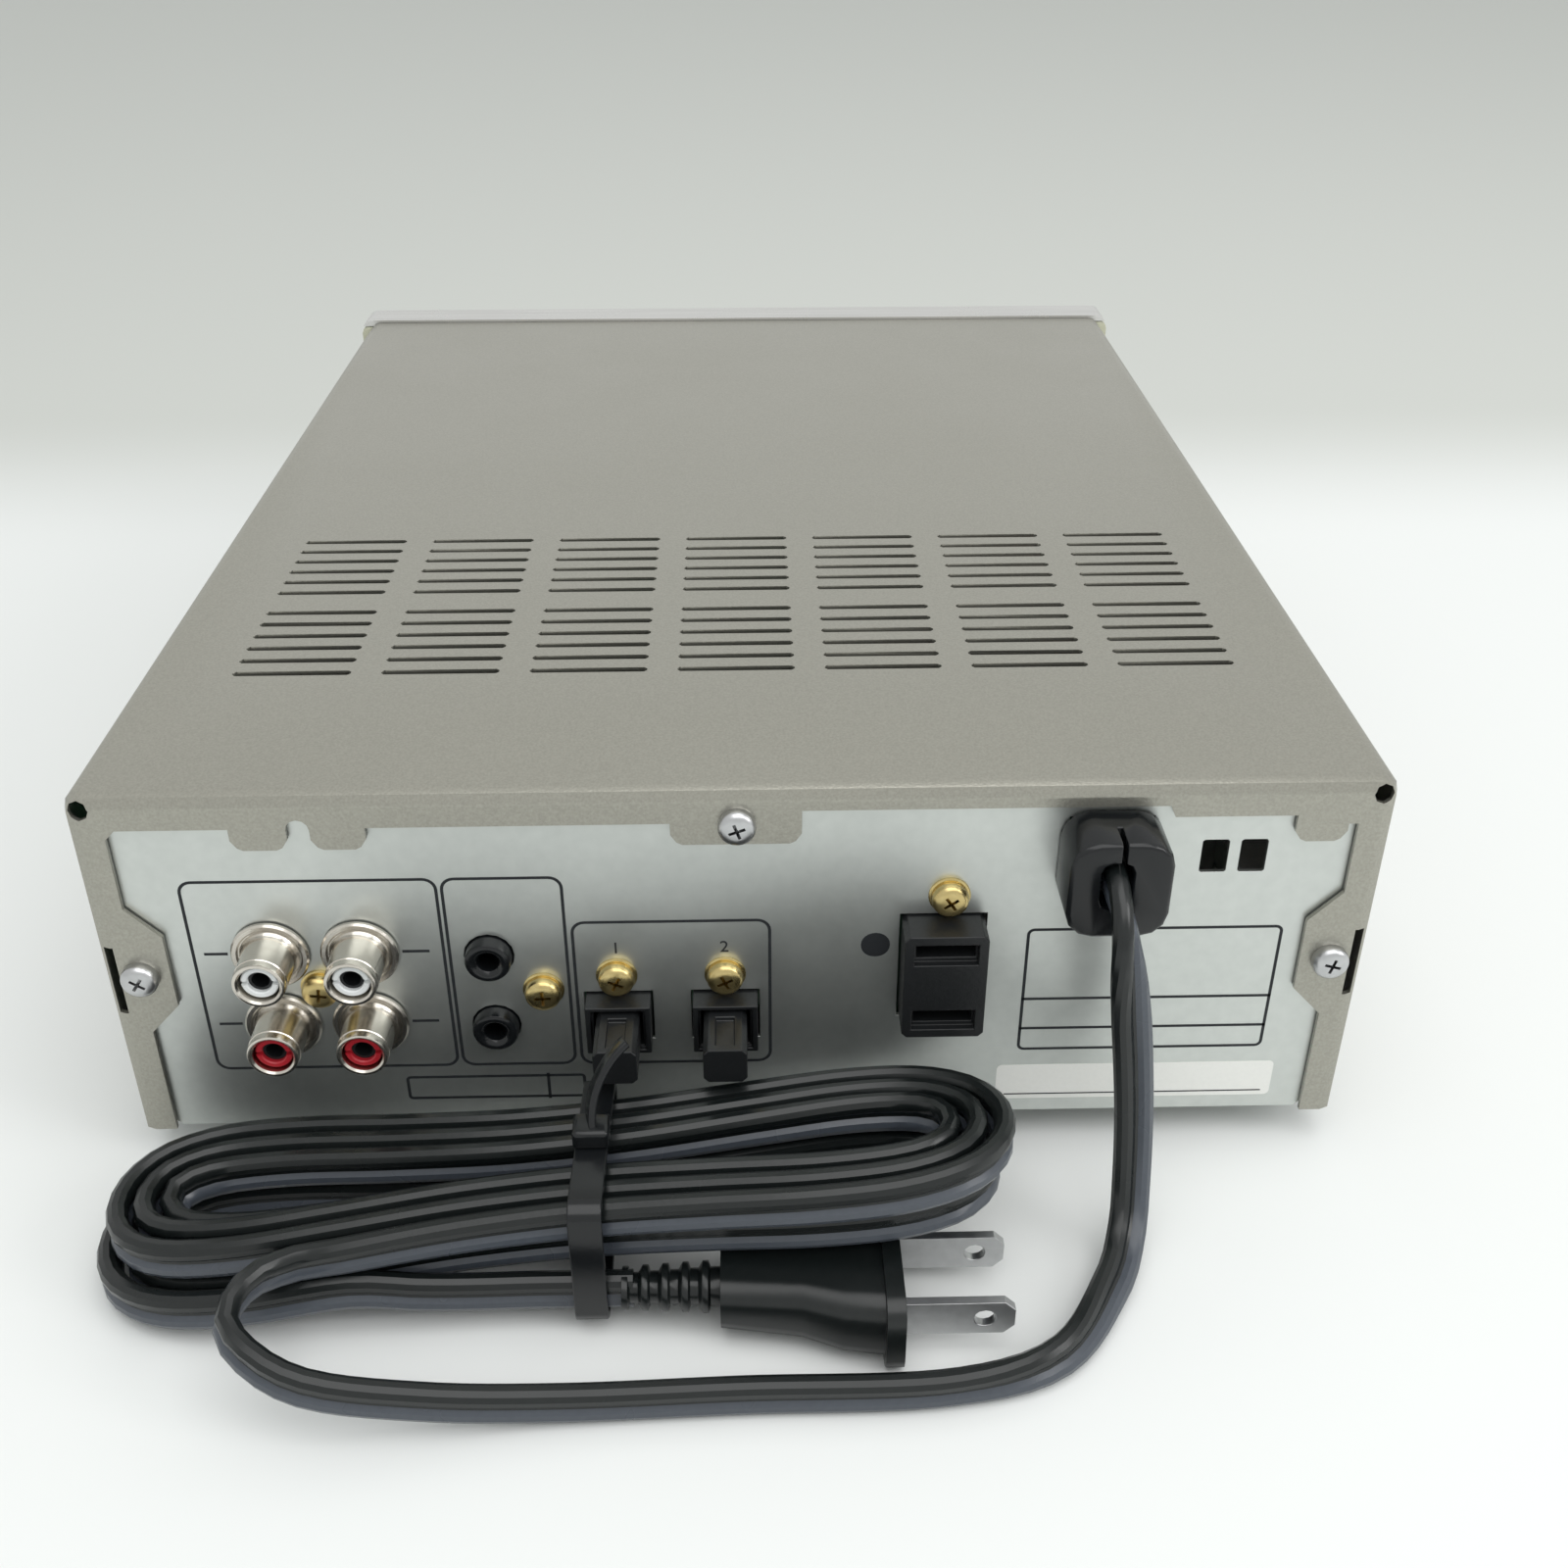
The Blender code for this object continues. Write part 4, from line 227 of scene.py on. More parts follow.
COVER = Finish("titanium_cover", (0.385, 0.376, 0.328), (0.300, 0.292, 0.254), 0.29, 0.80,
               Grain.SPECKLED, 2600.0, bump=0.10, spread=0.05)
ZINC = Finish("zinc_panel", (0.600, 0.625, 0.600), (0.500, 0.525, 0.505), 0.31, 0.90, Grain.MOULDED, 420.0,
              bump=0.02, spread=0.10)
ALUMINIUM = Finish("brushed_aluminium", (0.660, 0.655, 0.640), (0.520, 0.515, 0.500), 0.26, 0.85,
                   Grain.BRUSHED, 900.0, (0.03, 1.0, 1.0), 0.06, 0.06)
CREAM = Finish("cream_frame", (0.520, 0.520, 0.400), (0.440, 0.440, 0.330), 0.45, bump=0.08)
BLACK = Finish("black_moulding", (0.011, 0.012, 0.013), (0.019, 0.020, 0.021), 0.30, scale=1800.0, bump=0.08,
               specular=0.35)
GLOSS_BLACK = Finish("glossy_black", (0.006, 0.007, 0.008), (0.010, 0.011, 0.012), 0.18, bump=0.02, specular=0.4)
NICKEL = Finish("bright_nickel", (0.640, 0.605, 0.545), (0.540, 0.505, 0.450), 0.19, 1.0, Grain.BRUSHED, 700.0,
                bump=0.03, spread=0.10)
STEEL = Finish("plain_steel", (0.560, 0.565, 0.570), (0.440, 0.445, 0.450), 0.28, 1.0, Grain.BRUSHED, 500.0,
               bump=0.05)
GOLD = Finish("yellow_passivated_steel", (0.620, 0.500, 0.235), (0.500, 0.380, 0.150), 0.24, 1.0, Grain.BRUSHED,
              900.0, bump=0.05)
WHITE = Finish("white_insulator", (0.780, 0.800, 0.800), (0.700, 0.720, 0.720), 0.30, bump=0.04)
RED = Finish("red_insulator", (0.420, 0.016, 0.026), (0.300, 0.010, 0.018), 0.30, bump=0.04)
BOARD = Finish("green_board", (0.040, 0.180, 0.085), (0.025, 0.120, 0.055), 0.38, scale=300.0, bump=0.12,
               coat=0.3)
COPPER = Finish("enamelled_copper", (0.420, 0.180, 0.080), (0.300, 0.110, 0.045), 0.30, 0.7, Grain.BRUSHED,
                800.0, (1.0, 1.0, 6.0), 0.3)
CORD_BLACK = Finish("cord_vinyl_black", (0.006, 0.008, 0.008), (0.012, 0.014, 0.014), 0.22, scale=900.0,
                    bump=0.03, specular=0.45)
CORD_GREY = Finish("cord_vinyl_grey", (0.060, 0.069, 0.084), (0.044, 0.050, 0.062), 0.24, scale=900.0, bump=0.03)
RUBBER = Finish("foot_rubber", (0.030, 0.030, 0.031), (0.048, 0.048, 0.048), 0.62, scale=1100.0, bump=0.25)
INK = Finish("grey_ink", (0.018, 0.020, 0.023), (0.026, 0.028, 0.031), 0.55, bump=0.02, specular=0.25)
STICKER = Finish("foil_sticker", (0.780, 0.780, 0.745), (0.720, 0.720, 0.690), 0.40, bump=0.02)
WINDOW = Finish("smoked_window", (0.012, 0.014, 0.017), (0.016, 0.018, 0.021), 0.08, bump=0.0, coat=0.6)


def place_mesh(name: str, bm: BMesh, finishes: Sequence[Finish], body: str = "casing",
               smooth: float = SMOOTH_DEGREES, mend: bool = True) -> bpy.types.Object:
    """Turn a bmesh in row places into a piece that rides on a body.

    Args:
        name: Name of the piece.
        bm: The mesh, freed here.
        finishes: One finish for each material slot.
        body: CAD body that the piece rides on.
        smooth: Angle in degrees under which edges shade smooth.
        mend: Whether to merge doubles and turn the normals outwards.

    Returns:
        The finished piece.
    """
    if mend:
        bmesh.ops.remove_doubles(bm, verts=bm.verts, dist=WELD)
        bmesh.ops.recalc_face_normals(bm, faces=bm.faces)
    mesh = bpy.data.meshes.new(name)
    bm.to_mesh(mesh)
    bm.free()
    for finish in finishes:
        mesh.materials.append(finish.material())
    mesh.shade_smooth()
    mesh.set_sharp_from_angle(angle=math.radians(smooth))
    made = bpy.data.objects.new(name, mesh)
    bpy.context.scene.collection.objects.link(made)
    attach(made, body)
    LOG.info("%s: %d faces on %s", name, len(mesh.polygons), body)
    return made


def refined(node: str, finish: Finish, width: float = 0.0002, segments: int = 2,
            smooth: float = SMOOTH_DEGREES) -> bpy.types.Object:
    """Copy a CAD node with merged faces, small rounded edges and smooth shading.

    Args:
        node: The node that the piece stands for.
        finish: Its finish.
        width: Width of the rounded edges in metres; 0 leaves them sharp.
        segments: Steps in each rounded edge.
        smooth: Angle in degrees under which edges shade smooth.

    Returns:
        The piece, which replaces the node.
    """
    source = frame["nodes"][node]
    bm = bmesh.new()
    bm.from_mesh(source.data)
    bmesh.ops.remove_doubles(bm, verts=bm.verts, dist=WELD)
    bmesh.ops.dissolve_limit(bm, angle_limit=FLAT_ANGLE, verts=bm.verts, edges=bm.edges)
    made = place_mesh(f"{node}_dressed", bm, [finish], source["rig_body"], smooth, mend=False)
    if width:
        edge = made.modifiers.new("rounded_edges", "BEVEL")
        edge.width = width
        edge.segments = segments
        edge.limit_method = "ANGLE"
        edge.angle_limit = EDGE_ANGLE
        edge.harden_normals = True
    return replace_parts(made, node)


def repaint(finish: Finish, *nodes: str) -> None:
    """Give carried-over CAD nodes a finish.

    Args:
        finish: The finish.
        nodes: Names of the nodes.
    """
    for node in nodes:
        mesh = frame["nodes"][node].data
        mesh.materials.clear()
        mesh.materials.append(finish.material())


def spun(profile: Iterable[Point], middle: Vector, steps: int = 64, axis: str = "Y") -> BMesh:
    """Spin a closed or axis-to-axis profile of (radius, height) about an axis.

    Args:
        profile: Pairs of radius and height along the axis.
        middle: A point that the axis runs through.
        steps: Steps in the full turn.
        axis: World axis that the height runs along.

    Returns:
        The spun mesh, in place.
    """
    bm = bmesh.new()
    points = list(profile)
    verts = [bm.verts.new((radius, 0.0, height)) for radius, height in points]
    edges = [bm.edges.new(pair) for pair in zip(verts, verts[1:])]
    if points[0][0] > 0 and points[-1][0] > 0:
        edges.append(bm.edges.new((verts[-1], verts[0])))
    bmesh.ops.spin(bm, geom=verts + edges, axis=(0, 0, 1), cent=(0, 0, 0), angle=2 * math.pi,
                   steps=steps, use_merge=True)
    turn = {"X": Matrix.Rotation(QUARTER_TURN, 3, "Y"), "Y": Matrix.Rotation(-QUARTER_TURN, 3, "X"),
            "Z": Matrix.Identity(3)}[axis]
    bmesh.ops.rotate(bm, cent=(0, 0, 0), matrix=turn, verts=bm.verts)
    bmesh.ops.translate(bm, vec=middle, verts=bm.verts)
    bmesh.ops.remove_doubles(bm, verts=bm.verts, dist=WELD)
    return bm


def round_node(node: str) -> tuple[Vector, float, float, float]:
    """Measure a CAD node that is round about a line along Y.

    Args:
        node: Its name.

    Returns:
        A point of its axis at y = 0, its radius, its lowest and its highest y.
    """
    low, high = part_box(node)
    return Vector(((low.x + high.x) / 2, 0, (low.z + high.z) / 2)), (high.x - low.x) / 2, low.y, high.y


def slab(low: Vector, high: Vector, round_by: float = 0.0) -> BMesh:
    """Box between two corners, with rounded edges where a width is given.

    Args:
        low: Lowest corner.
        high: Highest corner.
        round_by: Width of the rounding; 0 leaves the edges sharp.

    Returns:
        The mesh.
    """
    bm = bmesh.new()
    made = bmesh.ops.create_cube(bm, size=1.0)["verts"]
    bmesh.ops.scale(bm, vec=high - low, verts=made)
    bmesh.ops.translate(bm, vec=(high + low) / 2, verts=made)
    if round_by:
        bmesh.ops.bevel(bm, geom=list(bm.edges), offset=round_by, offset_type="OFFSET", segments=3,
                        affect="EDGES", profile=0.5, material=-1)
    return bm


def merged(target: BMesh, *others: BMesh) -> BMesh:
    """Move meshes into another one and free them.

    Args:
        target: Mesh that takes them in.
        others: Meshes that are moved.

    Returns:
        The target.
    """
    for other in others:
        carrier = bpy.data.meshes.new("carrier")
        other.to_mesh(carrier)
        other.free()
        target.from_mesh(carrier)
        bpy.data.meshes.remove(carrier)
    return target
def stood(bm: BMesh, thick: float, place: Sequence[float]) -> BMesh:
    """Give flat faces a thickness and stand them up, so that their Y becomes Z.

    Args:
        bm: Mesh of faces in the XY plane.
        thick: Thickness, which grows towards -Y once they stand.
        place: Where their origin goes.

    Returns:
        The same mesh.
    """
    swept = bmesh.ops.extrude_face_region(bm, geom=list(bm.faces))["geom"]
    moved = [item for item in swept if isinstance(item, bmesh.types.BMVert)]
    bmesh.ops.translate(bm, vec=(0, 0, thick), verts=moved)
    bmesh.ops.rotate(bm, cent=(0, 0, 0), matrix=Matrix.Rotation(QUARTER_TURN, 3, "X"), verts=bm.verts)
    bmesh.ops.translate(bm, vec=place, verts=bm.verts)
    return bm
def outline_strip(width: float, height: float, corner: float, stroke: float, middle: Point, face: float,
                  proud: float) -> BMesh:
    """Printed rounded rectangle lying on the rear panel.

    Args:
        width: Outer width.
        height: Outer height.
        corner: Radius of its corners; 0 for square ones.
        stroke: Width of the line; 0 gives a filled shape.
        middle: X and z of its middle.
        face: Y of the panel's face.
        proud: How far the print stands out.

    Returns:
        The mesh.
    """
    bm = bmesh.new()
    verts = bmesh.ops.create_grid(bm, x_segments=1, y_segments=1, size=0.5)["verts"]
    bmesh.ops.scale(bm, vec=(width, height, 1), verts=verts)
    if corner:
        bmesh.ops.bevel(bm, geom=list(bm.verts), offset=corner, offset_type="OFFSET", segments=6,
                        affect="VERTICES", profile=0.5, material=-1)
    if stroke:
        inner = list(bm.faces)
        bmesh.ops.inset_region(bm, faces=inner, thickness=stroke, use_even_offset=True, use_boundary=True)
        bmesh.ops.delete(bm, geom=inner, context="FACES")
    return stood(bm, 2 * proud, (middle[0], face + proud, middle[1]))


def numeral(name: str, text: str, height: float, middle: Point, y: float) -> bpy.types.Object:
    """Plain printed numeral, read from behind the deck.

    Args:
        name: Name of the piece.
        text: The numeral.
        height: Height of the letter in metres.
        middle: X and z of its middle.
        y: Y of the surface that it is printed on.

    Returns:
        The piece, on the casing.
    """
    curve = bpy.data.curves.new(name, "FONT")
    curve.body = text
    curve.size = height * LETTER_SHARE
    curve.align_x = "CENTER"
    curve.align_y = "CENTER"
    curve.extrude = PRINT_PROUD
    made = bpy.data.objects.new(name, curve)
    bpy.context.scene.collection.objects.link(made)
    mesh = bpy.data.meshes.new_from_object(made)
    bpy.data.objects.remove(made)
    bm = bmesh.new()
    bm.from_mesh(mesh)
    turn = Matrix.Rotation(math.pi, 3, "Z") @ Matrix.Rotation(QUARTER_TURN, 3, "X")
    bmesh.ops.transform(bm, matrix=turn.to_4x4(), verts=bm.verts)
    bmesh.ops.translate(bm, vec=(middle[0], y, middle[1]), verts=bm.verts)
    return place_mesh(name, bm, [INK])


@dataclass(frozen=True)
class Screw:
    """Cross-head screw that faces +Y; its shares are counted on the head's radius."""

    radius: float
    finish: Finish
    washer: float = 0.0
    height_share: float = 0.78
    shank_share: float = 0.45
    shank_depth: float = 0.0012
    washer_shares: Triple = (1.14, 1.07, 0.9)
    washer_edge: float = 0.7
    dome: tuple[Point, ...] = ((0.97, 0.0), (1.0, 0.08), (1.0, 0.5), (0.97, 0.66), (0.88, 0.83), (0.74, 0.93),
                               (0.5, 0.99), (0.0, 1.0))
    cross_reach: float = 0.62
    cross_half: float = 0.115
    cross_depth: float = 1.5
    cross_turn: float = 0.35
    turn_per_metre: float = 40.0

    def build(self, name: str, head: Vector) -> bpy.types.Object:
        """Spin the screw and carve its cross.

        Args:
            name: Name of the piece.
            head: Middle of the head's underside.

        Returns:
            The piece, on the casing.
        """
        radius, base = self.radius, self.washer
        tall, shank = radius * self.height_share, radius * self.shank_share
        profile = [(0.0, -self.shank_depth), (shank, -self.shank_depth), (shank, 0.0)]
        if base:
            edge, crown, inner = (radius * share for share in self.washer_shares)
            profile += [(edge, 0.0), (edge, base * self.washer_edge), (crown, base), (inner, base)]
        profile += [(radius * across, base + tall * rise) for across, rise in self.dome]
        made = place_mesh(name, spun(profile, head, 40), [self.finish], smooth=40)
        cross = bmesh.new()
        reach, thick = radius * self.cross_reach, radius * self.cross_half
        for size in ((reach, thick), (thick, reach)):
            arm = bmesh.ops.create_cone(cross, cap_ends=True, segments=4, radius1=0.35, radius2=0.7071,
                                        depth=1.0)["verts"]
            bmesh.ops.rotate(cross, cent=(0, 0, 0), matrix=Matrix.Rotation(QUARTER_TURN / 2, 3, "Z"), verts=arm)
            bmesh.ops.scale(cross, vec=(2 * size[0], 2 * size[1], tall * self.cross_depth), verts=arm)
            bmesh.ops.rotate(cross, cent=(0, 0, 0), matrix=Matrix.Rotation(-QUARTER_TURN, 3, "X"), verts=arm)
            bmesh.ops.translate(cross, vec=(head.x, head.y + base + tall, head.z), verts=arm)
        turn = Matrix.Rotation(self.cross_turn + self.turn_per_metre * head.x, 3, "Y")
        bmesh.ops.rotate(cross, cent=head, matrix=turn, verts=cross.verts)
        return carved(made, cross)


def carved(made: bpy.types.Object, cutter: BMesh) -> bpy.types.Object:
    """Cut a bmesh out of a piece and apply the cut at once.

    Args:
        made: The piece.
        cutter: What is taken away; freed here.

    Returns:
        The piece with its new mesh.
    """
    bmesh.ops.recalc_face_normals(cutter, faces=cutter.faces)
    mesh = bpy.data.meshes.new("cutter")
    cutter.to_mesh(mesh)
    cutter.free()
    for slot in made.data.materials:
        mesh.materials.append(slot)
    tool = bpy.data.objects.new("cutter", mesh)
    bpy.context.scene.collection.objects.link(tool)
    step = made.modifiers.new("cut", "BOOLEAN")
    step.object = tool
    step.operation = "DIFFERENCE"
    step.solver = "EXACT"
    step.use_self = True
    bpy.context.view_layer.update()
    cut = bpy.data.meshes.new_from_object(made.evaluated_get(bpy.context.evaluated_depsgraph_get()))
    made.modifiers.clear()
    made.data = cut
    cut.shade_smooth()
    cut.set_sharp_from_angle(angle=math.radians(SMOOTH_DEGREES))
    bpy.data.objects.remove(tool)
    return made


@dataclass
class Casing:
    """Folded cover, chassis tray, feet and rear panel, with the screws of the cover."""

    screw: Screw = Screw(0.0029, STEEL)
    screw_places: tuple[Point, ...] = ((0.0942, 0.0385), (-0.0942, 0.0385), (0.0, 0.0655))
    foot_rim: float = 0.08
    foot_hollow: float = 0.12

    def build(self) -> None:
        """Dress the sheet-metal parts and set the cover's screws."""
        refined("top_cover", COVER, width=0.00012, segments=1, smooth=50)
        refined("rear_panel", ZINC, width=0.0001, segments=1)
        refined("bottom_chassis", ZINC, width=0.0001, segments=1)
        for corner in ("front_left", "front_right", "rear_left", "rear_right"):
            self.foot(f"foot_{corner}")
        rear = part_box("top_cover")[1].y
        for number, (x, z) in enumerate(self.screw_places, 1):
            self.screw.build(f"cover_screw_{number}", Vector((x, rear, z)))

    def foot(self, node: str) -> None:
        """Spin a rubber foot with a soft rim in place of a node.

        Args:
            node: The foot's CAD node.
        """
        low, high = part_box(node)
        radius, tall = (high.x - low.x) / 2, high.z - low.z
        rim, hollow = radius * self.foot_rim, tall * self.foot_hollow
        profile = [(0.0, tall), (radius - rim, tall), (radius, tall - rim), (radius - rim * 0.5, rim),
                   (radius - rim, rim * 0.25), (radius - rim * 1.6, 0.0), (radius * 0.62, 0.0),
                   (radius * 0.56, hollow), (0.0, hollow)]
        base = Vector(((low.x + high.x) / 2, (low.y + high.y) / 2, low.z))
        made = place_mesh(f"{node}_rubber", spun(profile, base, 48, "Z"), [RUBBER])
        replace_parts(made, node)


@dataclass
class RearPrint:
    """Printed frames, leader lines, plain numerals and the blank sticker of the rear panel."""

    stroke: float = 0.00050
    proud: float = PRINT_PROUD
    frames: tuple[tuple[float, float, float, float, float], ...] = (
        (0.0463, 0.0183, 0.0860, 0.0558, 0.0022),
        (0.0270, 0.0183, 0.0459, 0.0558, 0.0022),
        (-0.0051, 0.0182, 0.0264, 0.0472, 0.0022),
        (-0.0864, 0.0197, -0.0456, 0.0445, 0.0012),
        (0.0258, 0.0112, 0.0555, 0.0162, 0.0008),
    )
    lines: tuple[Bounds, ...] = (
        (-0.0861, 0.0304, -0.0459, 0.0304), (-0.0861, 0.0243, -0.0459, 0.0243),
        (0.0806, 0.0419, 0.0838, 0.0419), (0.0806, 0.0279, 0.0838, 0.0279),
        (0.0490, 0.0419, 0.0528, 0.0419), (0.0490, 0.0279, 0.0528, 0.0279),
        (0.0320, 0.0112, 0.0320, 0.0162),
    )
    dot: Point = (-0.0216, 0.0418)
    dot_size: float = 0.0046
    dot_corner: float = 0.0022
    numerals: tuple[tuple[str, float], ...] = (("1", 0.0195), ("2", 0.00235))
    numeral_height: float = 0.0022
    numeral_level: float = 0.0418
    sticker: Bounds = (-0.0891, 0.0092, -0.0426, 0.0165)
    sticker_corner: float = 0.0009
    sticker_proud: float = 0.00006
    rule_margins: float = 0.003
    rule_stroke: float = 0.0002
    rule_rise: float = 0.0010
    rule_proud: float = 0.0001

    def build(self) -> None:
        """Print the panel and lay the sticker on it."""
        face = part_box("rear_panel")[1].y
        ink = bmesh.new()
        for left, low, right, high, corner in self.frames:
            middle = ((left + right) / 2, (low + high) / 2)
            merged(ink, outline_strip(right - left, high - low, corner, self.stroke, middle, face, self.proud))
        for x0, z0, x1, z1 in self.lines:
            size = (abs(x1 - x0) + self.stroke, abs(z1 - z0) + self.stroke)
            middle = ((x0 + x1) / 2, (z0 + z1) / 2)
            merged(ink, outline_strip(*size, 0, 0, middle, face, self.proud))
        merged(ink, outline_strip(self.dot_size, self.dot_size, self.dot_corner, 0, self.dot, face, self.proud))
        place_mesh("panel_print", ink, [INK])
        for number, x in self.numerals:
            numeral(f"panel_numeral_{number}", number, self.numeral_height, (x, self.numeral_level),
                    face + self.proud)
        left, low, right, high = self.sticker
        middle = ((left + right) / 2, (low + high) / 2)
        plate = outline_strip(right - left, high - low, self.sticker_corner, 0, middle, face, self.sticker_proud)
        place_mesh("blank_sticker", plate, [STICKER])
        rule = outline_strip(right - left - self.rule_margins, self.rule_stroke, 0, 0,
                             (middle[0], low + self.rule_rise), face + self.rule_proud, self.proud)
        place_mesh("sticker_rule", rule, [INK])


@dataclass
class PhonoSockets:
    """Four nickel phono sockets with coloured insulators, in one black housing."""

    bore: float = 0.0032
    barrel: float = 0.00415
    flange: float = 0.0061
    lip: float = 0.0003
    slit: float = 0.00075
    hole: float = 0.0019
    plate: float = 0.0005
    plate_crown: float = 0.0008
    waist: float = 0.00012
    ease: float = 0.0002
    slit_depth: float = 0.0008
    slit_start: float = 0.0010
    slit_overrun: float = 0.001
    sleeve: Point = (0.0005, 0.00005)

    def build(self) -> None:
        """Spin the sockets in place of their nodes."""
        repaint(BLACK, "rca_block")
        for number in range(1, 5):
            self.shell(f"rca_shell_{number}")
            self.insulator(f"rca_insulator_{number}", WHITE if number < 3 else RED)

    def shell(self, node: str) -> None:
        """Spin a socket's nickel shell with a stepped flange and a rolled lip.

        Args:
            node: The shell's CAD node.
        """
        axis, _, seat, tip = round_node(node)
        deep = tip - seat
        bore, barrel, flange, lip = self.bore, self.barrel, self.flange, self.lip
        profile = [
            (bore, seat), (flange, seat), (flange, seat + self.plate), (flange - lip, seat + self.plate_crown),
            (flange - 3 * lip, seat + self.plate_crown), (flange - 4 * lip, seat + self.plate),
            (barrel + 2 * lip, seat + self.plate), (barrel + lip, seat + 3 * lip), (barrel, seat + 5 * lip),
            (barrel, tip - deep * 0.18), (barrel - self.waist, tip - deep * 0.16), (barrel - self.waist, tip - lip),
            (barrel - lip * 0.6, tip - lip * 0.3), (barrel - lip * 1.2, tip), (bore + lip, tip), (bore, tip - lip),
        ]
        made = place_mesh(f"{node}_nickel", spun(profile, axis), [NICKEL])
        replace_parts(made, node)

    def insulator(self, node: str, finish: Finish) -> None:
        """Spin a socket's insulator, with a contact sleeve and its level slit.

        Args:
            node: The insulator's CAD node.
            finish: Its finish.
        """
        axis, radius, seat, face = round_node(node)
        hole, ease = self.hole, self.ease
        profile = [(hole, seat), (radius, seat), (radius, face - ease), (radius - ease, face),
                   (hole + ease, face), (hole, face - ease)]
        made = place_mesh(f"{node}_ring", spun(profile, axis, 48), [finish])
        low, high = face - self.slit_depth, face + self.slit_overrun
        grooves = bmesh.new()
        for start, end in ((-radius * 1.2, -self.slit_start), (self.slit_start, radius * 1.2)):
            merged(grooves, slab(Vector((axis.x + start, low, axis.z - self.slit / 2)),
                                 Vector((axis.x + end, high, axis.z + self.slit / 2))))
        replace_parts(carved(made, grooves), node)
        inner, outer = (hole - thinner for thinner in self.sleeve)
        sleeve = [(inner, seat), (outer, seat), (outer, low), (inner, low)]
        place_mesh(f"{node}_contact", spun(sleeve, axis, 32), [BLACK])


@dataclass
class RearFittings:
    """Remote jacks, optical inputs with their caps, the outlet, the bushing and gold screws."""

    nose: float = 0.00365
    bore: float = 0.00178
    screw: Screw = Screw(0.0029, GOLD, 0.0004)
    screw_places: tuple[Point, ...] = ((0.0666, 0.0352), (0.0314, 0.0340), (0.0196, 0.0366), (0.0023, 0.0366),
                                       (-0.0329, 0.0512))
    ease: float = 0.0002
    floor: float = 0.0021
    block_edge: float = 0.0003

    def build(self) -> None:
        """Dress every fitting of the rear panel."""
        for node in ("remote_jack_upper", "remote_jack_lower"):
            self.jack(node)
        for number in (1, 2):
            refined(f"optical_receiver_{number}", BLACK, width=0.00018)
            refined(f"optical_cap_{number}", BLACK, width=0.00022)
        refined("ac_outlet", BLACK, width=0.00022)
        refined("cord_bushing", GLOSS_BLACK, width=0.00025, smooth=50)
        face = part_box("rear_panel")[1].y
        for number, (x, z) in enumerate(self.screw_places, 1):
            self.screw.build(f"gold_screw_{number}", Vector((x, face, z)))

    def jack(self, node: str) -> None:
        """Spin a mini jack's nose with a domed rim, over its body behind the panel.

        Args:
            node: The jack's CAD node.
        """
        low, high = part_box(node)
        axis, _, rear, tip = round_node(node)
        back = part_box("rear_panel")[0].y - GAP
        bore, nose, ease = self.bore, self.nose, self.ease
        profile = [(bore, rear + 10 * ease), (bore, tip - 3 * ease), (bore + 2 * ease, tip - ease),
                   (bore + 4 * ease, tip), (nose - 3 * ease, tip), (nose - ease, tip - ease), (nose, tip - 3 * ease),
                   (nose, back - 0.0005), (bore + 0.0005, back - 0.0005), (bore + 0.0005, rear + 10 * ease)]
        made = place_mesh(f"{node}_nose", spun(profile, axis), [GLOSS_BLACK])
        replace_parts(made, node)
        base = slab(Vector((low.x, rear, low.z)), Vector((high.x, rear + self.floor, high.z)), self.block_edge)
        walls = slab(Vector((low.x, rear + self.floor - self.block_edge, low.z)), Vector((high.x, back, high.z)),
                     self.block_edge)
        block = place_mesh(f"{node}_body", walls, [BLACK])
        clear, start = bore + 2 * ease, rear - 0.01
        carved(block, spun([(0, start), (clear, start), (clear, tip), (0, tip)], axis, 24))
        place_mesh(f"{node}_floor", base, [BLACK])


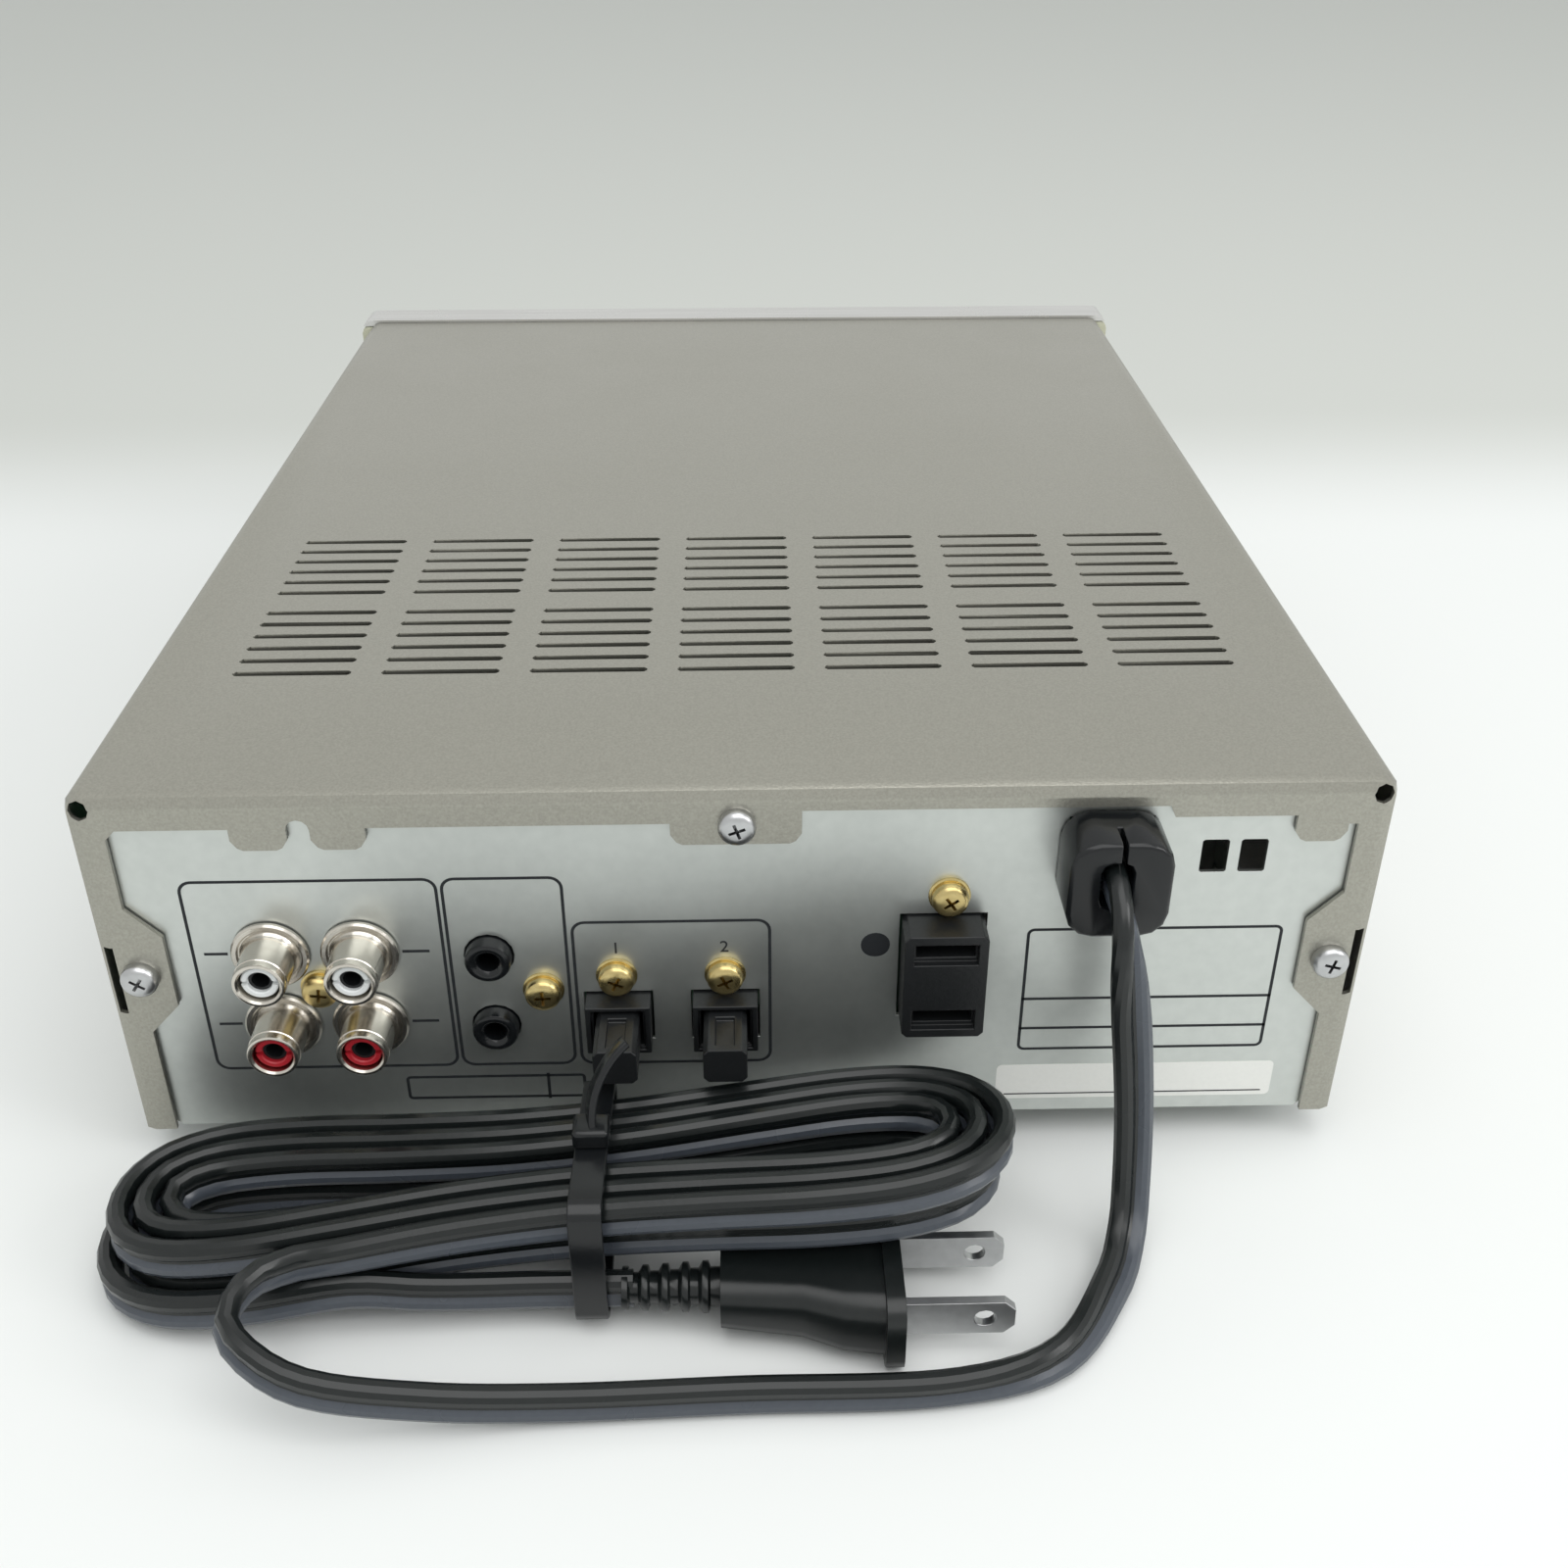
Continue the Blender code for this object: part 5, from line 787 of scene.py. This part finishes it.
@dataclass
class MainsCord:
    """Flat twin mains cord: the lead from the bushing, the tied hank and the tail into the plug."""

    length: float = 1.95
    width: float = 0.0066
    core_radius: float = 0.00165
    core_offset: float = 0.00160
    groove: float = 0.00095
    core_points: int = 10
    step: float = 0.0028
    rear: float = 0.1275
    exit: Triple = (-0.0563, 0.1318, 0.0592)
    hank: Triple = (0.0290, 0.1500, 0.0033)
    half_length: float = 0.0700
    waist: float = 0.0132
    bulge: float = 0.0200
    turns: int = 3
    pitch: float = 0.0040
    layer_step: float = 0.00705
    layer_change: float = 0.25
    start: float = math.radians(65)
    slope: float = 0.105
    lean: float = 0.98
    loop_points: int = 24
    gap: float = GAP
    lead: tuple[Triple, ...] = (
        (-0.0563, 0.0090, 0.0591), (-0.0567, 0.0135, 0.0565), (-0.0575, 0.0160, 0.0500),
        (-0.0592, 0.0172, 0.0380), (-0.0608, 0.0180, 0.0240), (-0.0612, 0.0205, 0.0120),
        (-0.0600, 0.0260, 0.0050), (-0.0560, 0.0350, 0.0034), (-0.0460, 0.0480, 0.0034),
        (-0.0290, 0.0530, 0.0034), (0.0000, 0.0535, 0.0034), (0.0250, 0.0545, 0.0038),
        (0.0450, 0.0560, 0.0065), (0.0620, 0.0560, 0.0105), (0.0720, 0.0500, 0.0142),
        (0.0710, 0.0430, 0.0158),
    )
    tail: tuple[Triple, ...] = ((0.0480, 0.0372, 0.0076), (0.0400, 0.0368, 0.0070), (0.0320, 0.0365, 0.0068))
    plug_y: float = 0.1640
    plug_z: float = 0.0068
    relief_end: float = 0.0183
    twist: float = math.radians(82)
    twist_rise: Point = (0.001, 0.028)
    twist_fall: Point = (0.060, 0.110)
    steep: float = 0.6
    level_pull: float = 0.15
    tie: str = "cord_tie"
    head_size: Triple = (0.0056, 0.0050, 0.0034)
    head_lift: float = 0.0002
    head_edge: float = 0.0008
    stub_lift: float = 0.0004
    stub_length: float = 0.0150
    stub_size: Point = (0.0034, 0.0012)
    stub_bend: float = 0.0150
    stub_lean: Triple = (0.10, -0.35, 0.90)

    def build(self) -> None:
        path = self.route()
        mesh = self.sweep(path)
        cord = place_mesh("mains_cord", mesh, [CORD_BLACK, CORD_GREY], smooth=32, mend=False)
        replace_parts(cord, "cord_lead", "cord_hank")
        tie = refined(self.tie, GLOSS_BLACK, width=0.00025)
        body = refined("plug_body", CORD_BLACK, width=0.0003, smooth=45)
        blades = [refined(f"plug_blade_{number}", STEEL, width=0.00015) for number in (1, 2)]
        self.knot()
        self.stub()

    def lift(self, place: Vector) -> float:
        """Height that the slanted hank has at a place.

        Args:
            place: The place, counted from the hank's middle.

        Returns:
            How far its underside lies above the floor there.
        """
        along = self.half_length + 2 * self.core_radius - place.x
        return along * self.slope * (1 + self.lean * place.y / self.half_length)

    def hank_point(self, turns: float) -> Vector:
        """Place on the hank: inwards on the upper layer, then outwards below it.

        Args:
            turns: Turns walked from the start.

        Returns:
            The place in the deck's frame.
        """
        inward = min(turns, 2 * self.turns - turns)
        angle = 2 * math.pi * turns + self.start
        fall = ease(turns, (self.turns - self.layer_change, self.turns + self.layer_change))
        cos, sin = math.cos(angle), math.sin(angle)
        spread = self.waist + self.bulge * cos * cos
        place = Vector((self.half_length * cos, sin * spread, 0))
        along = Vector((-self.half_length * sin, cos * spread - 2 * self.bulge * cos * sin * sin, 0))
        place -= Vector((along.y, -along.x, 0)).normalized() * inward * self.pitch
        return Vector(self.hank) + place + Vector((0, 0, self.lift(place) + (1 - fall) * self.layer_step))

    def lead_points(self) -> list[Vector]:
        """Places of the lead from the bushing to the start of the hank."""
        end = self.hank_point(0)
        heading = (self.hank_point(1 / self.loop_points) - end).normalized()
        return [Vector(self.exit), *self.behind(self.lead), end - heading * (self.width + self.gap)]

    def tail_points(self) -> list[Vector]:
        """Places of the tail from the hank into the plug's relief."""
        end = self.relief_end
        ends = (end + self.width + self.gap, end + self.gap, end - 0.002)
        return [*self.behind(self.tail), *(Vector((x, self.plug_y, self.plug_z)) for x in ends)]

    def behind(self, places: Iterable[Triple]) -> list[Vector]:
        """Places in the deck's frame of places counted from the rear panel.

        Args:
            places: X, distance behind the rear panel, and z of each.

        Returns:
            The places.
        """
        return [Vector((x, self.rear + y, z)) for x, y, z in places]

    def route(self) -> list[Vector]:
        """Even, smooth centreline of the whole cord."""
        count = 2 * self.turns * self.loop_points
        coil = [self.hank_point(2 * self.turns * index / count) for index in range(count + 1)]
        return smooth_route([*self.lead_points(), *coil, *self.tail_points()], self.step)

    def section(self) -> list[Point]:
        """Figure-eight outline: sideways and upward offsets, lower core first."""
        reach = math.pi - math.asin(self.groove / self.core_radius)
        half = []
        for index in range(self.core_points):
            angle = reach * (1 - 2 * index / (self.core_points - 1))
            half.append((self.core_radius * math.sin(angle),
                         self.core_offset + self.core_radius * math.cos(angle)))
        return [(-side, -up) for side, up in half] + half

    def sweep(self, path: Sequence[Vector]) -> BMesh:
        """Sweep the section along the path, its wide side turned on the drop.

        Args:
            path: Centreline.

        Returns:
            The tube; faces of the lower core have the second material.
        """
        outline = self.section()
        size = len(outline)
        bm = bmesh.new()
        rings = []
        up, walked = Vector((0, 0, 1)), 0.0
        for index, place in enumerate(path):
            before, after = path[max(index - 1, 0)], path[min(index + 1, len(path) - 1)]
            ahead = (after - before).normalized()
            walked += (place - before).length
            up = (up - ahead * up.dot(ahead)).normalized()
            if abs(ahead.z) < self.steep:
                level = (Vector((0, 0, 1)) - ahead * ahead.z).normalized()
                up = up.lerp(level, self.level_pull).normalized()
            turn = self.twist * (ease(walked, self.twist_rise) - ease(walked, self.twist_fall))
            shown = Matrix.Rotation(turn, 3, ahead) @ up
            side = ahead.cross(shown).normalized()
            rings.append([bm.verts.new(place + side * across + shown * rise) for across, rise in outline])
        for first, second in zip(rings, rings[1:]):
            for index in range(size):
                follow = (index + 1) % size
                face = bm.faces.new((first[index], first[follow], second[follow], second[index]))
                face.material_index = 1 if index < self.core_points - 1 else 0
        bm.faces.new(rings[0])
        bm.faces.new(reversed(rings[-1]))
        bmesh.ops.recalc_face_normals(bm, faces=bm.faces)
        return bm

    def knot(self) -> bpy.types.Object:
        """Head of the tie, on top of the bundle."""
        low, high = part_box(self.tie)
        middle = Vector(((low.x + high.x) / 2, (low.y + high.y) / 2, high.z + self.head_lift))
        half = Vector(self.head_size) / 2
        return place_mesh("tie_head", slab(middle - half, middle + half, self.head_edge), [GLOSS_BLACK])

    def stub(self) -> bpy.types.Object:
        """Loose end of the tie, bent up past its head."""
        low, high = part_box(self.tie)
        bm = bmesh.new()
        flat = bmesh.ops.create_grid(bm, x_segments=1, y_segments=1, size=0.5)["verts"]
        bmesh.ops.scale(bm, vec=(self.stub_size[1], self.stub_size[0], 1), verts=flat)
        bmesh.ops.bevel(bm, geom=list(bm.verts), offset=self.stub_size[1] * 0.3, offset_type="OFFSET", segments=3,
                        affect="VERTICES", profile=0.5, material=-1)
        bmesh.ops.spin(bm, geom=list(bm.verts) + list(bm.edges) + list(bm.faces), axis=(0, 1, 0),
                       cent=(-self.stub_bend, 0, 0), angle=-self.stub_length / self.stub_bend, steps=24,
                       use_duplicate=False)
        turn = Vector(self.stub_lean).normalized().to_track_quat("Z", "Y").to_matrix()
        bmesh.ops.rotate(bm, cent=(0, 0, 0), matrix=turn, verts=bm.verts)
        foot = Vector(((low.x + high.x) / 2, (low.y + high.y) / 2, high.z + self.stub_lift))
        bmesh.ops.translate(bm, vec=foot, verts=bm.verts)
        return place_mesh("tie_end", bm, [GLOSS_BLACK])


def ease(walked: float, span: Point) -> float:
    """Rise smoothly from 0 to 1 within a span.

    Args:
        walked: How far the walk has come.
        span: Where the rise starts and ends.

    Returns:
        The height, from 0 to 1.
    """
    part = min(max((walked - span[0]) / (span[1] - span[0]), 0), 1)
    return part * part * (3 - 2 * part)


def smooth_route(points: Sequence[Vector], step: float) -> list[Vector]:
    """Catmull-Rom curve through points, cut into even steps.

    Args:
        points: Places that the curve runs through.
        step: Length of a step.

    Returns:
        Places along the curve; the last one is the last of points.
    """
    fine = []
    parts = 24
    for index, (start, end) in enumerate(zip(points, points[1:])):
        before, after = points[max(index - 1, 0)], points[min(index + 2, len(points) - 1)]
        for part in range(parts):
            t = part / parts
            fine.append(0.5 * (2 * start + (end - before) * t + (2 * before - 5 * start + 4 * end - after) * t * t
                               + (3 * start - before - 3 * end + after) * t * t * t))
    fine.append(points[-1])
    even, walked = [fine[0]], 0.0
    for start, end in zip(fine, fine[1:]):
        walked += (end - start).length
        if walked >= step:
            even.append(end)
            walked = 0.0
    if (even[-1] - fine[-1]).length < step / 2:
        even.pop()
    return [*even, fine[-1]]


def sign(name: str, corners: int, size: Point, turn: float, middle: Point, y: float, body: str) -> bpy.types.Object:
    """Plain printed sign on the front, facing -Y.

    Args:
        name: Name of the piece.
        corners: Corners of the shape: 3 for a triangle, 4 for a block, more for a dot.
        size: Its width and height.
        turn: Turn in degrees before it is scaled.
        middle: X and z of its middle.
        y: Y of the surface that it is printed on.
        body: CAD body that it rides on.

    Returns:
        The piece.
    """
    bm = bmesh.new()
    bmesh.ops.create_circle(bm, cap_ends=True, segments=corners, radius=0.5)
    bmesh.ops.rotate(bm, cent=(0, 0, 0), matrix=Matrix.Rotation(math.radians(turn), 3, "Z"), verts=bm.verts)
    spread = [max(abs(vert.co[axis]) for vert in bm.verts) * 2 for axis in (0, 1)]
    bmesh.ops.scale(bm, vec=(size[0] / spread[0], size[1] / spread[1], 1), verts=bm.verts)
    return place_mesh(name, stood(bm, SIGN_PROUD, (middle[0], y, middle[1])), [INK], body)


@dataclass
class FrontPanel:
    """Brushed fascia over its cream frame, with the window, flap, knobs and buttons."""

    dimple: float = 0.0042
    dimple_x: float = 0.0082
    mark: Point = (0.00066, 0.0045)
    core: float = 0.0030
    rim: float = 0.0003

    def build(self) -> None:
        """Dress the fascia and everything that is worked through it."""
        for node, finish in (("front_panel", ALUMINIUM), ("front_frame", CREAM), ("display_window", WINDOW)):
            refined(node, finish, width=0.0003)
        refined("slot_flap", ALUMINIUM)
        for node in ("power_button", "eject_button", "play_button", "stop_button", "rec_button"):
            refined(node, ALUMINIUM, width=0.0003, segments=3)
        self.jog()
        self.level()
        self.signs()

    def jog(self) -> None:
        """Spin the jog dial with a raised rim and carve its finger dimple."""
        axis, radius, tip, end = round_node("jog_dial")
        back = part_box("front_panel")[0].y - GAP
        rim, core = self.rim, self.core
        profile = [(0.0, tip + 0.0007), (radius - 0.0026, tip + 0.0007), (radius - 0.0020, tip + 0.0002),
                   (radius - 0.0016, tip), (radius - 3 * rim, tip), (radius - rim, tip + rim),
                   (radius, tip + 3 * rim), (radius, back - 4 * rim), (radius - rim, back - 0.0008),
                   (radius - rim, back - 0.0002), (radius - 2 * rim, back), (core, back), (core, end), (0.0, end)]
        made = place_mesh("jog_dial_spun", spun(profile, axis, 96), [ALUMINIUM], "jog", 30)
        cutter = bmesh.new()
        bmesh.ops.create_uvsphere(cutter, u_segments=48, v_segments=24, radius=self.dimple)
        bmesh.ops.scale(cutter, vec=(1, 0.5, 1), verts=cutter.verts)
        bmesh.ops.translate(cutter, vec=(axis.x - self.dimple_x, tip + 0.0002, axis.z), verts=cutter.verts)
        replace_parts(carved(made, cutter), "jog_dial")

    def level(self) -> None:
        """Spin the level knob, with a dark pointer mark."""
        axis, radius, tip, end = round_node("level_knob")
        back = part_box("front_panel")[0].y - GAP
        rim, core = self.rim, self.core
        profile = [(0.0, tip), (radius - 0.0010, tip), (radius - rim, tip + rim), (radius, tip + 3 * rim),
                   (radius, back - 0.0004), (radius - rim, back), (core, back), (core, end), (0.0, end)]
        made = place_mesh("level_knob_spun", spun(profile, axis, 72), [ALUMINIUM], "level", 30)
        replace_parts(made, "level_knob")
        sign("level_mark", 4, self.mark, 45, (axis.x, axis.z + radius * 0.5), tip, "level")

    def signs(self) -> None:
        """Print the usual plain signs on the buttons."""
        for node, marks in {
            "play_button": ((3, (0.0022, 0.0026), -90, 0.0, 0.0),),
            "stop_button": ((4, (0.0022, 0.0022), 45, 0.0, 0.0),),
            "rec_button": ((28, (0.0024, 0.0024), 0, 0.0, 0.0),),
            "eject_button": ((3, (0.0028, 0.0016), 0, 0.0, 0.0005), (4, (0.0026, 0.0005), 45, 0.0, -0.0009)),
            "power_button": ((4, (0.0006, 0.0030), 45, 0.0, 0.0),),
        }.items():
            low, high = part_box(node)
            for number, (corners, size, turn, x, z) in enumerate(marks, 1):
                middle = ((low.x + high.x) / 2 + x, (low.z + high.z) / 2 + z)
                sign(f"{node}_sign_{number}", corners, size, turn, middle, low.y, node.split("_")[0])


@dataclass
class Interior:
    """Boards, mains transformer and the minidisc mechanism."""

    def build(self) -> None:
        """Give every inner node its finish."""
        for finish, nodes in (
            (BOARD, ("main_board", "front_board")),
            (STEEL, ("transformer_core", "loading_motor", "spindle_motor", "sled_motor", "head_arm")),
            (COPPER, ("transformer_winding",)),
            (ZINC, ("mech_bracket", "disc_holder")),
            (BLACK, ("mech_base", "turntable", "pickup_sled")),
            (WHITE, ("cam_slide", "loading_pinion")),
            (NICKEL, ("guide_rod_1", "guide_rod_2", "sled_screw")),
            (WINDOW, ("display_tube",)),
        ):
            for node in nodes:
                refined(node, finish, width=0.00012, segments=1)


@dataclass
class Studio:
    """Pale floor, soft lights and the camera of the photograph."""

    eye: Triple = (-0.00188, 0.33913, 0.20081)
    right: Triple = (-0.99969297, 0.02477689, -0.00026843)
    down: Triple = (0.01307403, 0.51824366, -0.85513307)
    ahead: Triple = (-0.02104843, -0.85487403, -0.51840848)
    lens: float = 38.34
    sensor: float = 36.0
    nearest: float = 0.01
    floor_half: float = 40.0
    floor_drop: float = 0.0001
    floor_color: Color = (0.785, 0.795, 0.785)
    # painted shade: beyond the deck the floor greys to this colour, in place of a less-lit wall behind it
    far_painted_shade: Color = (0.58, 0.59, 0.56)
    painted_shade_span: Point = (-0.13, -0.26)
    sky: float = 0.74
    sky_color: Color = (0.80, 0.81, 0.80)
    sky_light: Color = (0.97, 1.0, 0.99)
    lights: tuple[tuple[str, Triple, float, float], ...] = (
        ("overhead", (-0.15, 0.50, 1.20), 1.30, 9.5),
        ("right", (-1.20, 0.60, 0.80), 0.60, 5.0),
    )

    def build(self) -> None:
        """Set the stage, the lights, the world and the camera."""
        self.floor()
        self.world()
        for name, place, size, power in self.lights:
            light = bpy.data.lights.new(name, "AREA")
            light.shape = "SQUARE"
            light.size = size
            light.energy = power
            made = bpy.data.objects.new(name, light)
            made.location = place
            made.rotation_mode = "QUATERNION"
            made.rotation_quaternion = Vector(place).to_track_quat("Z", "Y")
            bpy.context.scene.collection.objects.link(made)
        camera = bpy.data.cameras.new("camera")
        camera.lens = self.lens
        camera.sensor_width = self.sensor
        camera.clip_start = self.nearest
        made = bpy.data.objects.new("camera", camera)
        axes = Matrix((self.right, [-value for value in self.down], [-value for value in self.ahead])).transposed()
        made.matrix_world = Matrix.Translation(self.eye) @ axes.to_4x4()
        bpy.context.scene.collection.objects.link(made)
        bpy.context.scene.camera = made
        bpy.context.scene.view_settings.view_transform = "Standard"

    def floor(self) -> None:
        """Lay a wide floor with painted shade: it turns a little greyer beyond the deck, standing in for a less-lit
        wall behind it.
        """
        bm = bmesh.new()
        bmesh.ops.create_grid(bm, x_segments=2, y_segments=2, size=self.floor_half)
        mesh = bpy.data.meshes.new("floor")
        bm.to_mesh(mesh)
        bm.free()
        paint = bpy.data.materials.new("pale_floor")
        paint.use_nodes = True
        tree = paint.node_tree
        shader = tree.nodes["Principled BSDF"]
        preset(shader, {"Roughness": 0.55, "Specular IOR Level": 0.25})
        place = added(tree, "ShaderNodeTexCoord")
        split = added(tree, "ShaderNodeSeparateXYZ")
        # painted shade: this mask greys the floor across the span behind the deck
        mask = added(tree, "ShaderNodeMapRange", {"From Min": self.painted_shade_span[0], "From Max": self.painted_shade_span[1]},
                     interpolation_type="SMOOTHSTEP")
        tint = added(tree, "ShaderNodeMix", {"A": (*self.floor_color, 1), "B": (*self.far_painted_shade, 1)},
                     data_type="RGBA")
        linked(tree, (place, "Object", split, 0), (split, "Y", mask, "Value"), (mask, "Result", tint, "Factor"),
               (tint, "Result", shader, "Base Color"))
        mesh.materials.append(paint)
        made = bpy.data.objects.new("floor", mesh)
        made.location.z = -self.floor_drop
        bpy.context.scene.collection.objects.link(made)

    def world(self) -> None:
        """Pale world: one tone for the camera and reflections, a softer one as light."""
        world = bpy.data.worlds.new("studio")
        world.use_nodes = True
        tree = world.node_tree
        seen = tree.nodes["Background"]
        preset(seen, {"Color": (*self.sky_color, 1), "Strength": 1.0})
        lit = added(tree, "ShaderNodeBackground", {"Color": (*self.sky_light, 1), "Strength": self.sky})
        path = added(tree, "ShaderNodeLightPath")
        first = added(tree, "ShaderNodeMath", operation="MAXIMUM")
        second = added(tree, "ShaderNodeMath", operation="MAXIMUM")
        mixed = added(tree, "ShaderNodeMixShader")
        linked(tree, (path, "Is Camera Ray", first, 0), (path, "Is Glossy Ray", first, 1), (first, 0, second, 0),
               (path, "Is Transmission Ray", second, 1), (second, 0, mixed, "Fac"), (lit, 0, mixed, 1),
               (seen, 0, mixed, 2), (mixed, 0, tree.nodes["World Output"], "Surface"))
        bpy.context.scene.world = world


def main() -> None:
    """Build every sub-assembly in turn."""
    logging.basicConfig(level=logging.INFO, format="%(name)s: %(message)s")
    for part in (Casing(), RearPrint(), PhonoSockets(), RearFittings(), MainsCord(), FrontPanel(), Interior(),
                 Studio()):
        LOG.info("building %s", type(part).__name__)
        part.build()


if __name__ == "__main__":
    main()
